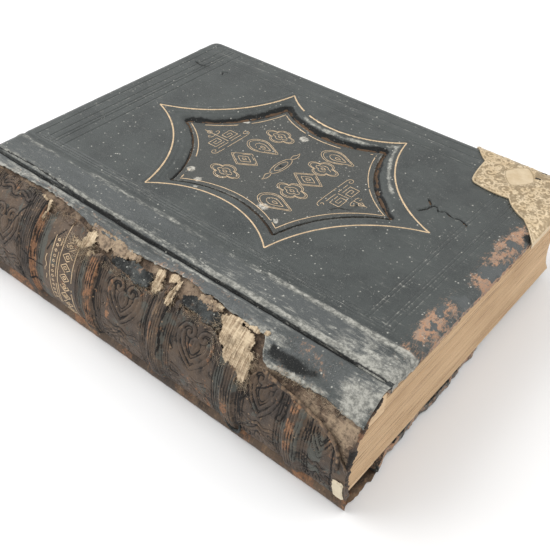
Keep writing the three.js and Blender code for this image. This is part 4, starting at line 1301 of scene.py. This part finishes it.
def scrap(
    name, blobs, lift, material, slot, seed, ragged=1.0, sag=0.0, crumple=0.5, square=2.4, soil=0.25,
):
    """Torn scraps glued over the spine's upper edge: thin sheets with ragged outlines and dropped edges.

    Each blob is (middle y, middle distance down, half height, half width). sag lifts the far end,
    crumple is the size of the creases, square makes the outline squarer and soil is its dirt."""
    blobs = np.array(blobs, float)
    middle, half = blobs[:, :2], blobs[:, 2:]
    y_low, d_low = (middle - half).min(axis=0) - 3
    y_high, d_high = (middle + half).max(axis=0) + 3
    ys, downs = np.arange(y_low, y_high, 0.42), np.arange(max(d_low, -5.9), d_high, 0.42)
    y, down = np.meshgrid(ys, downs, indexing="ij")
    field = np.full(y.shape, -9.0)
    for cy, cd, hy, hd in blobs:
        reach = ((np.abs(y - cy) / hy) ** square + (np.abs(down - cd) / hd) ** square) ** (1 / square)
        field = np.maximum(field, (1 - reach) * min(hy, hd))
    torn = 1.5 * rough(y, down, 5.5, seed, 3) + 0.8 * rough(y * 1.6, down * 0.5, 1.1, seed + 1, 2)
    field = field + ragged * torn
    solid = field > 0
    keep = solid[:-1, :-1] & solid[1:, 1:] & solid[1:, :-1] & solid[:-1, 1:]
    rim = np.clip(field / 0.9, 0, 1)
    height = lift + crumple * rough(down, y, 4.5, seed + 2, 4) + 0.35 * (1 - ramp(field, 0.2, 2.5))
    height = height + sag * ramp(down, blobs[:, 1].mean(), d_high)
    height = np.where(rim < 0.6, height - 0.8, height)
    points = back_at(down, y + 0.12 * rough(y, down, 1, seed + 6), height)
    points[..., 2] = np.clip(points[..., 2], 0.4, 73.8)
    values = dict(
        wear=0.3 + 0.7 * rough(down, y, 5, seed + 3) + 0.4 * (1 - rim),
        bare=0.2 + 0.5 * rough(down, y, 6, seed + 5), dirt_and_shade=soil + 0.6 * rough(down, y, 6, seed + 4),
    )
    piece = tidy(make_mesh(name, points, grid_faces(*y.shape, keep), material, values))
    return ridden(piece, "text_block", slot)


def fibres(name, places):
    """Frayed threads: thin tapered hairs lying out from the torn edges.

    Each place is (y range, down range, how many, length, main direction in degrees, lift)."""
    rng = np.random.default_rng(7)
    steps = 6
    points, faces = [], []
    for ys, downs, count, length, heading, lift in places:
        for _ in range(count):
            y, down = rng.uniform(*ys), rng.uniform(*downs)
            angle = math.radians(heading + rng.normal(0, 28))
            bend = rng.normal(0, 0.5)
            reach = length * rng.uniform(0.5, 1.2)
            thick = rng.uniform(0.06, 0.13)
            start = len(points)
            for k in range(steps + 1):
                t = k / steps
                a = angle + bend * t * 2
                y += math.cos(a) * reach / steps
                down += math.sin(a) * reach / steps
                rise = lift + 1.0 * t * rng.uniform(0.2, 1.0) + 0.1
                middle = back_at(max(down, -5.8), y, rise)
                middle[2] = min(max(middle[2], 0.3), 73.9)
                size = thick * (1 - 0.7 * t)
                for corner in range(3):
                    c = 2 * math.pi * corner / 3
                    out = np.array([math.cos(c) * 0.7, math.cos(c + 1.2), math.sin(c)])
                    points.append(middle + size * out)
            for k in range(steps):
                for corner in range(3):
                    a = start + 3 * k + corner
                    b = start + 3 * k + (corner + 1) % 3
                    faces.append([a, b, b + 3, a + 3])
            faces.append([start, start + 2, start + 1])
            faces.append([start + 3 * steps, start + 3 * steps + 1, start + 3 * steps + 2])
    return ridden(make_mesh(name, points, faces, thread_fibre), "text_block", "thread")


def rolled_edge():
    """The torn leather rolled over on itself near the tail."""
    route = [(64, 21), (57, 22.5), (50, 24), (42, 25), (36, 26), (30, 27), (25, 28), (21, 29), (16, 31), (11, 33.5)]
    route += [(7, 38), (5.5, 44), (6, 51)]
    plan = resampled(smooth_line(route, 3), 0.8)
    ahead = np.gradient(plan, axis=0)
    side = np.stack([-ahead[:, 1], ahead[:, 0]], 1) / np.hypot(*ahead.T)[:, None]
    turn = np.linspace(0, 2 * math.pi, 13)[:-1]
    number = np.arange(len(plan))
    taper = np.clip(np.minimum(number, number[::-1]) / 4, 0.15, 1)[:, None]
    size = 0.85 * (1 + 0.35 * rough(plan[:, :1], plan[:, 1:], 4, 151, 3)) * taper
    across = size * (1.25 * np.cos(turn) + 0.12 * rough(plan[:, :1] * 3, turn[None] * 2, 1, 152))
    uneven = 1 + 0.25 * rough(plan[:, :1] * 2, turn[None] * 2 + 9, 1, 153)
    lift = 0.7 + size * 0.8 * np.sin(turn) * uneven
    at = plan[:, None] + side[:, None] * across[..., None]
    points = back_at(at[..., 1], at[..., 0], lift)
    points[..., 2] = np.clip(points[..., 2], 0.5, 73.8)
    faces = capped(ring_faces(len(plan), len(turn)), lift.size, len(turn))
    fibre = rough(at[..., 0] * 1.5, at[..., 1] * 1.5, 3, 154)
    values = dict(
        wear=0.55 + 0.8 * fibre, bare=np.full(lift.shape, 0.1), dirt_and_shade=0.4 - 0.9 * fibre,
        slate=np.full(lift.shape, 0.3),
    )
    piece = make_mesh("rolled_torn_leather", points, faces, spine_leather, values)
    ridden(piece, "text_block", "worn_leather")


def foot_loop():
    """A loop of torn leather standing out at the foot of the spine."""
    t = np.linspace(0, math.pi, 22)
    plan = np.stack([76 + 5.2 * np.cos(t), ARC - 7.5 + 8.0 * np.sin(t)], 1)
    turn = np.linspace(0, 2 * math.pi, 9)[:-1]
    size = 1.0 + 0.25 * rough(t * 4, 0 * t, 1, 161)
    centre = back_at(np.minimum(plan[:, 1], ARC + 1.5), plan[:, 0], 1.0 + 1.6 * np.sin(t))
    ring = np.stack([np.cos(turn) * 0.9, np.sin(turn) * 0.6, np.sin(turn + 0.8) * 0.9], -1)
    points = centre[:, None] + size[:, None, None] * ring[None]
    points[..., 2] = np.maximum(points[..., 2], 0.3)
    shape = points.shape[:2]
    faces = capped(ring_faces(*shape, reverse=True), len(t) * len(turn), len(turn))
    values = dict(dirt_and_shade=np.full(shape, 0.7))
    piece = make_mesh("torn_leather_loop", points, faces, cover_leather, values)
    ridden(piece, "text_block", "worn_leather")


def torn_pieces():
    """Everything that is glued, torn or frayed along the spine's upper edge."""
    under_lining()
    end_fray()
    linen = (linen_cloth, "linen")
    scrap(
        "linen_scrap_tail",
        [(86, 15, 12, 8), (80, 23, 10, 7), (74, 29, 4, 6), (92, 10, 8, 4)], 0.9, *linen, 201, sag=0.5,
    )
    scrap("linen_scrap_head", [(250, 12, 3.6, 9), (253.5, 6.5, 4.6, 4)], 0.9, *linen, 209)
    scrap(
        "linen_scrap_frayed",
        [(206, 12, 5, 6), (200, 19, 3.5, 3), (211, 17, 5, 1.8), (197, 22, 3, 2)], 0.9, *linen, 213, 1.3,
    )
    scrap("linen_scrap_middle", [(146, 14, 4, 5), (148, 7, 4, 3)], 0.8, *linen, 217, 1.2)
    scrap("linen_scrap_hanging", [(134.5, 13, 2.4, 8), (139, 5.5, 3.5, 3)], 1.0, *linen, 221, sag=0.8)
    scrap(
        "linen_scrap_small",
        [(71, 4.5, 2.2, 2.0), (92, 6.5, 8, 1.8), (80, 6, 5, 1.4), (104, 5.5, 5, 1.4)], 1.1, *linen, 225, 0.8,
    )
    paper_places = [(203, 7, 6.5, 5.5), (193, 7.5, 6, 6), (183.5, 8, 6, 5.5), (172, 7, 5, 3)]
    scrap("paper_scrap_head", paper_places, 0.5, scrap_paper, "end_paper", 229, 1.5, square=4)
    scrap(
        "paper_scrap_middle",
        [(113, 6, 7.5, 3.2), (104, 5.5, 4, 2)], 0.5, scrap_paper, "end_paper", 237, 1.4, square=4,
    )
    scrap(
        "paper_scrap_tail",
        [(3.6, 65, 3.6, 9.5)], 0.9, white_paper, "end_paper", 241, 0.3, crumple=0.15, square=9,
    )
    leather = (cover_leather, "worn_leather")
    scrap(
        "leather_scrap_head",
        [(176, 14, 9, 4), (166, 15, 9, 6), (157, 15, 6, 5)], 0.6, *leather, 245, 1.2, soil=0.78, square=3,
    )
    scrap(
        "leather_scrap_middle",
        [(120, 12, 9, 4.5), (108, 12.5, 9, 5), (102, 13, 5, 4)], 0.5, *leather, 249, 1.2, soil=0.78, square=3,
    )
    rust_places = [(140, 16, 2.4, 5), (128, 17, 2, 4), (226, 9, 6, 1.6), (246, 14, 1.4, 5)]
    scrap("leather_scrap_rust", rust_places, 0.5, spine_leather, "worn_leather", 253)
    fibres("frayed_threads", (
        ((72, 100), (14, 30), 150, 5, 90, 1.1), ((69, 73), (14, 32), 60, 3, 150, 1.0), ((96, 101), (8, 16), 60, 3, 30, 1.0),
        ((68, 76), (31, 37), 60, 4, 90, 1.2), ((194, 210), (12, 24), 160, 7, 40, 1.0),
        ((198, 222), (15, 23), 90, 8, 10, 1.0),
        ((245, 256), (10, 20), 110, 4, 95, 0.9), ((131, 138), (8, 20), 90, 5, 95, 1.1), ((142, 150), (8, 18), 80, 4, 90, 0.9),
        ((100, 128), (14, 19), 120, 2.5, 90, 0.5), ((150, 200), (17, 21), 220, 2.5, 90, 0.6), ((250, 330), (2, 5), 200, 2.2, 90, 0.5),
        ((24, 60), (15, 19), 160, 2.2, 80, 0.8), ((6, 24), (17, 21), 80, 2.2, 60, 0.8),
        ((206, 250), (4, 9), 140, 2.5, 90, 0.6),
    ))
    rolled_edge()
    foot_loop()


def spine():
    spine_leather_piece()
    spine_gilt()
    joint_strip()
    back_joint()
    torn_pieces()


# ------------------------------------------------------------------ leaves

# Where the back leaves start, next to the back joint.
BACK_LEAF_START = 0.6


def bundle(
    name, z_low, z_high, node, body, hinge=None, folded=True, material=leaf_paper, ragged=1.0, seed=1,
    slot="leaf_paper",
):
    """A stack of leaves: one closed solid whose edges step in and out leaf by leaf.

    hinge is (fixed body, start, end) for leaves that turn; only whether it is given is read: such leaves are set on no
    body and do not bend."""
    layers = max(int(round((z_high - z_low) / 0.62)), 1)
    levels, insets = [], []
    for i in range(layers):
        bottom = z_low + (z_high - z_low) * i / layers
        top = z_low + (z_high - z_low) * (i + 1) / layers
        thick = top - bottom
        levels += [bottom + 0.04 * thick, bottom + 0.22 * thick, top - 0.22 * thick, top - 0.04 * thick]
        insets += [0.22, 0.0, 0.0, 0.22]
    levels, insets = np.array(levels), np.array(insets)

    middle = (z_low + z_high) / 2
    back_x = fold_x(middle) + 0.3 if folded else BACK_LEAF_START
    front_x = fore_edge_x(middle)
    xs = np.concatenate([np.linspace(back_x, 12, 24), np.linspace(12, front_x, 60)[1:]])
    ys = np.linspace(BLOCK_TAIL, BLOCK_HEAD, 96)
    loop_x = np.concatenate([xs[:-1], np.full(len(ys) - 1, xs[-1]), xs[:0:-1], np.full(len(ys) - 1, xs[0])])
    loop_y = np.concatenate([np.full(len(xs) - 1, ys[0]), ys[:-1], np.full(len(xs) - 1, ys[-1]), ys[:0:-1]])
    run = (len(xs) - 1, len(ys) - 1, len(xs) - 1, len(ys) - 1)
    out_x, out_y = np.repeat([0.0, 1.0, 0.0, -1.0], run), np.repeat([-1.0, 0.0, 1.0, 0.0], run)
    along = np.arange(len(loop_x))
    step = np.repeat(np.arange(layers), 4)[:, None]
    slow = noise(along[None] / 22.0, step * 3.7 + seed * 11.3, seed)
    layer_shift = noise(step * 1.31 + 0.5, 0 * step + seed * 7.7, seed + 5)
    inset = insets[:, None] + ragged * (0.16 + 0.14 * slow + 0.2 * layer_shift)
    deep = (lattice(step, 0 * step + 3, seed) > 0.93) * 0.7 * ragged
    inset = np.clip(inset + deep, 0.0, 1.6)
    level = levels[:, None] + 0 * along[None]
    hollow = fore_edge_x(level) - front_x
    round_back = fold_x(level) - fold_x(middle)
    ends = out_x[None] == 0
    x = loop_x[None] + np.where(out_x[None] > 0, hollow, 0.0)
    x = x - out_x[None] * inset * np.where(out_x[None] < 0, 0.3, 1.0)
    x = x + np.where(ends, hollow * ramp(loop_x[None], 150, front_x), 0)
    x = x + np.where(ends, round_back * (1 - ramp(loop_x[None], back_x, 20)), 0) * folded
    x = x + np.where(out_x[None] < 0, round_back, 0) * folded
    y = loop_y[None] - out_y[None] * inset
    z = level + 0.12 * noise(loop_x[None] / 40.0, loop_y[None] / 40.0, seed + 9) * ragged * (layers > 1)
    z = np.clip(z, z_low + 0.01, z_high - 0.01)
    side = np.stack([x, y, z], axis=-1)
    rows, columns = side.shape[:2]
    index = np.arange(rows * columns).reshape(rows, columns)
    faces = [ring_faces(rows, columns)]
    points = [side.reshape(-1, 3)]
    total = rows * columns
    nx, ny = len(xs), len(ys)
    for ring, up in ((0, False), (rows - 1, True)):
        sheet = np.zeros((ny, nx), int)
        sheet[0, :] = index[ring, :nx]
        sheet[:, -1] = index[ring, nx - 1 : nx - 1 + ny]
        sheet[-1, :] = index[ring, nx + ny - 2 : 2 * nx + ny - 2][::-1]
        sheet[:, 0] = np.concatenate([index[ring, 2 * nx + ny - 3 :], index[ring, :1]])[::-1]
        inner = np.arange((ny - 2) * (nx - 2)).reshape(ny - 2, nx - 2) + total
        sheet[1:-1, 1:-1] = inner
        gx, gy = np.meshgrid(xs[1:-1], ys[1:-1])
        dome = levels[ring] + 0.08 * noise(gx / 35, gy / 35, seed + 13)
        if folded:
            shift = fold_x(levels[ring]) - fold_x(middle)
            gx = gx + np.interp(gx, (back_x, 20), (1, 0)) * shift
        sheet_z = np.clip(dome, z_low + 0.01, z_high - 0.01)
        points.append(np.stack([gx, gy, sheet_z], axis=-1).reshape(-1, 3))
        total += inner.size
        quads = np.stack([sheet[:-1, :-1], sheet[:-1, 1:], sheet[1:, 1:], sheet[1:, :-1]], axis=-1).reshape(-1, 4)
        faces.append(quads if up else quads[:, ::-1])
    faces = np.concatenate(faces)
    edge = np.repeat([1.0, 0.0], [side.size // 3, total - side.size // 3])
    piece = make_mesh(name, np.concatenate(points), faces, material, {"edge": edge})
    if hinge:
        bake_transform(piece)
    else:
        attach(piece, body)
    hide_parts(node)


def level_of(node):
    """The lowest and highest z of a CAD node, in book millimetres."""
    low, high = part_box(node)
    return low.z / MM, high.z / MM


def leaves():
    for i in range(8):
        node = f"section_{i + 1}"
        bundle(f"leaf_gatherings_{i + 1}", *level_of(node), node, "text_block", seed=300 + i)
    gutter = ("text_block", (-8, 0, FRONT_HINGE_Z), (6, 0, FRONT_HINGE_Z))
    for i in range(5):
        node = f"leaves_{i + 1}"
        bundle(f"turning_leaves_{i + 1}", *level_of(node), node, f"{node}_body", gutter, seed=320 + i)
    plain = dict(material=end_paper, ragged=0.5, slot="end_paper")
    bundle(
        "front_endleaf", *level_of("front_flyleaf"), "front_flyleaf", "front_flyleaf_body", gutter,
        seed=330, **plain,
    )
    back = ("back_cover", (BACK_LEAF_START, 0, 7), (12, 0, 7))
    bundle(
        "back_turning_leaves", *level_of("back_leaves"), "back_leaves", "back_leaves_body", back,
        folded=False, seed=331,
    )
    bundle(
        "back_endleaf", *level_of("back_flyleaf"), "back_flyleaf", "back_flyleaf_body", back,
        folded=False, seed=332, **plain,
    )


# ------------------------------------------------------------------ brass


def curve_distance(x, y, curves):
    """Distance in the plan from each grid point to the nearest point of many fine curves."""
    tree = KDTree(sum(len(curve) for curve in curves))
    for number, (u, v) in enumerate(np.concatenate(curves)):
        tree.insert((u, v, 0), number)
    tree.balance()
    flat = zip(np.ravel(x), np.ravel(y))
    return np.array([tree.find((u, v, 0))[2] for u, v in flat]).reshape(np.shape(x))


def brass_relief():
    """Stamped leaf scrolls on the brass corner round a plain centre, laid over its flat top."""
    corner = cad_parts["brass_corner"]
    mesh = corner.data
    corners = [corner.matrix_world @ v.co for v in mesh.vertices]
    tree = BVHTree.FromPolygons(corners, [p.vertices for p in mesh.polygons])
    (x0, y0, _), (x1, y1, _) = book_box("brass_corner")
    xs, ys = np.arange(x0, x1, 0.38), np.arange(y0, y1, 0.38)
    X, Y = np.meshgrid(xs, ys)
    top = np.full(X.shape, -1.0)
    for at in np.ndindex(X.shape):
        start = Vector(place([X[at], Y[at], 90.0]))
        hit = tree.ray_cast(start, Vector((0, 0, -1)), 0.03)
        if hit[0] is not None and hit[1].z > 0.5:
            top[at] = hit[0].z / MM
    solid = top > 0
    shrink = solid.copy()
    for _ in range(2):
        grown = shrink.copy()
        grown[1:] &= shrink[:-1]
        grown[:-1] &= shrink[1:]
        grown[:, 1:] &= shrink[:, :-1]
        grown[:, :-1] &= shrink[:, 1:]
        shrink = grown
    scrolls = []
    rng = np.random.default_rng(12)

    def curl(cx, cy, size, start, turns, hand):
        t = np.linspace(0, 1, 40)
        angle = math.radians(start) + hand * turns * 2 * math.pi * t
        radius = size * (1 - 0.8 * t)
        scrolls.append(np.stack([cx + radius * np.cos(angle), cy + radius * np.sin(angle)], 1))

    for cx, cy, size, start, hand in (
        (191, 50, 5.5, 200, 1), (191, 37, 5.5, 160, -1), (202, 54, 4.6, 250, -1), (212, 53, 5.0, 290, 1),
        (223, 52, 4.6, 200, -1), (222, 64, 4.6, 90, 1), (213, 61, 3.2, 60, -1), (183, 20, 5.6, 200, 1),
        (195, 21, 5.0, 100, -1), (207, 18, 4.8, 30, 1), (172, 8, 4.6, 200, 1), (183, 8, 4.4, 20, -1),
        (196, 9, 4.4, 150, 1), (209, 8, 4.0, 0, -1), (224, 38, 4.0, 90, 1),
    ):
        curl(cx, cy, size, start, 1.3, hand)
        for k in range(5):
            angle = math.radians(start + hand * (40 + 62 * k))
            out = size * (1.15 - 0.08 * k)
            leaf_x, leaf_y = cx + out * math.cos(angle), cy + out * math.sin(angle)
            curl(leaf_x, leaf_y, size * 0.36, start + 70 * k, 0.7, -hand)
    for cx, cy in np.stack([rng.uniform(x0, x1, 210), rng.uniform(y0, y1, 210)], 1):
        curl(cx, cy, rng.uniform(1.2, 2.3), rng.uniform(0, 360), rng.uniform(0.5, 0.85), rng.choice((-1, 1)))
    turn = np.linspace(0, 2 * math.pi, 41)[:-1]
    round_x, round_y = np.cos(turn), np.sin(turn)
    lozenge = np.stack([
        210.8 + 13.2 * round_x * np.abs(round_x) ** 0.5, 36.6 + 10.4 * round_y * np.abs(round_y) ** 0.5,
    ], 1)
    flat = np.stack([X.ravel(), Y.ravel()], 1)
    near_curl = curve_distance(X, Y, scrolls)
    plain = signed_distance(flat, lozenge).reshape(X.shape)
    stem = 1.0 * np.exp(-((near_curl / 0.42) ** 2))
    leafy = 0.3 * np.clip(rough(X, Y, 1.3, 171, 3) + 0.2, 0, 1)
    height = np.where(plain > 0, 0.28 + 0.03 * rough(X, Y, 4, 172), stem * 0.55 + leafy)
    height = height - 0.25 * bump(plain, 0, 0.9)
    pin_stain = np.hypot(X - 188.5, Y - 56)
    holes = np.minimum(
        np.hypot(X - 216.5, (Y - 25.8) / 2.2), np.hypot((X - 226) / 1.6, (Y - 25.6) / 2.0),
    )
    height = np.where(holes < 1.0, 0.05, height) + 0.35 * bump(holes, 1.25, 0.25)
    z = np.where(shrink, top + 0.06 + height * 0.75, top - 0.12)
    z = np.minimum(z, 75.2)
    cells = solid[:-1, :-1] & solid[1:, 1:] & solid[:-1, 1:] & solid[1:, :-1]
    corners = np.stack([top[:-1, :-1], top[1:, 1:], top[:-1, 1:], top[1:, :-1]])
    cells &= (corners.max(0) - corners.min(0)) < 1.2
    dirt_and_shade = 0.85 * (1 - np.clip(height / 0.45, 0, 1)) + 1.2 * bump(pin_stain, 1.4, 1.2)
    # The holes are not cut; their high value paints them near black as painted shade.
    values = dict(dirt_and_shade=np.where(holes < 1.05, 2.5, np.where(plain > 1, 0, dirt_and_shade)))
    points, faces = np.stack([X, Y, z], -1), grid_faces(*X.shape, cells)
    piece = make_mesh("brass_corner_relief", points, faces, stamped_brass, values)
    ridden(tidy(piece), "front_cover", "brass")


def cad_finishes():
    """Materials for the CAD nodes that stay in sight, or that show when the book opens."""
    by_slot = {
        "front_board": pasteboard, "front_pastedown": end_paper,
        "brass_corner": stamped_brass, "brass_pin_lobe": stamped_brass, "brass_pin_edge": stamped_brass,
        "front_sewn_folds": leaf_paper, "back_sewn_folds": leaf_paper, "spine_card": scrap_paper,
        "headband": thread_fibre,
    }
    for name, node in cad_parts.items():
        material = by_slot.get(name)
        if name.startswith("sewing_cord"):
            material = thread_fibre
        elif name.startswith("spine_lining"):
            material = linen_cloth
        elif name.startswith("raised_band"):
            material = pasteboard
        if material:
            for slot in node.material_slots:
                slot.material = material


covers()
spine()
leaves()
brass_relief()
cad_finishes()
# ------------------------------------------------------------------ stage, light and camera


def studio():
    floor = bpy.data.meshes.new("floor")
    half = 4.0
    floor.from_pydata([(-half, -half, 0), (half, -half, 0), (half, half, 0), (-half, half, 0)], [], [(0, 1, 2, 3)])
    n = Nodes("floor_paint")
    floor.materials.append(n.finish((0.86, 0.86, 0.86), 0.9))
    ground = bpy.data.objects.new("floor", floor)
    bpy.context.scene.collection.objects.link(ground)
    world = bpy.data.worlds.new("studio")
    world.use_nodes = True
    world.node_tree.nodes["Background"].inputs[0].default_value = (1, 1, 1, 1)
    world.node_tree.nodes["Background"].inputs[1].default_value = 0.85
    bpy.context.scene.world = world
    bpy.context.scene.view_settings.view_transform = "Standard"
    for name, spot, power, size in (
        ("key", (-0.5, 1.1, 1.3), 22, 1.4),
        ("fill", (0.9, -0.9, 1.1), 9, 1.6),
    ):
        light = bpy.data.lights.new(name, "AREA")
        light.energy = power
        light.size = size
        lamp = bpy.data.objects.new(name, light)
        lamp.location = spot
        lamp.rotation_euler = (-Vector(spot)).to_track_quat("-Z", "Y").to_euler()
        bpy.context.scene.collection.objects.link(lamp)


def camera():
    right = Vector((0.63683, -0.77047, 0.02857))
    down = Vector((-0.49358, -0.43587, -0.75259))
    forward = Vector((0.59230, 0.46517, -0.65787))
    data = bpy.data.cameras.new("camera")
    data.lens = 52.35
    data.sensor_width = 36
    view = bpy.data.objects.new("camera", data)
    basis = Matrix((right, -down, -forward)).transposed()
    view.matrix_world = Matrix.Translation(place([-242.99, -115.05, 372.0])) @ basis.to_4x4()
    bpy.context.scene.collection.objects.link(view)
    bpy.context.scene.camera = view


studio()
camera()
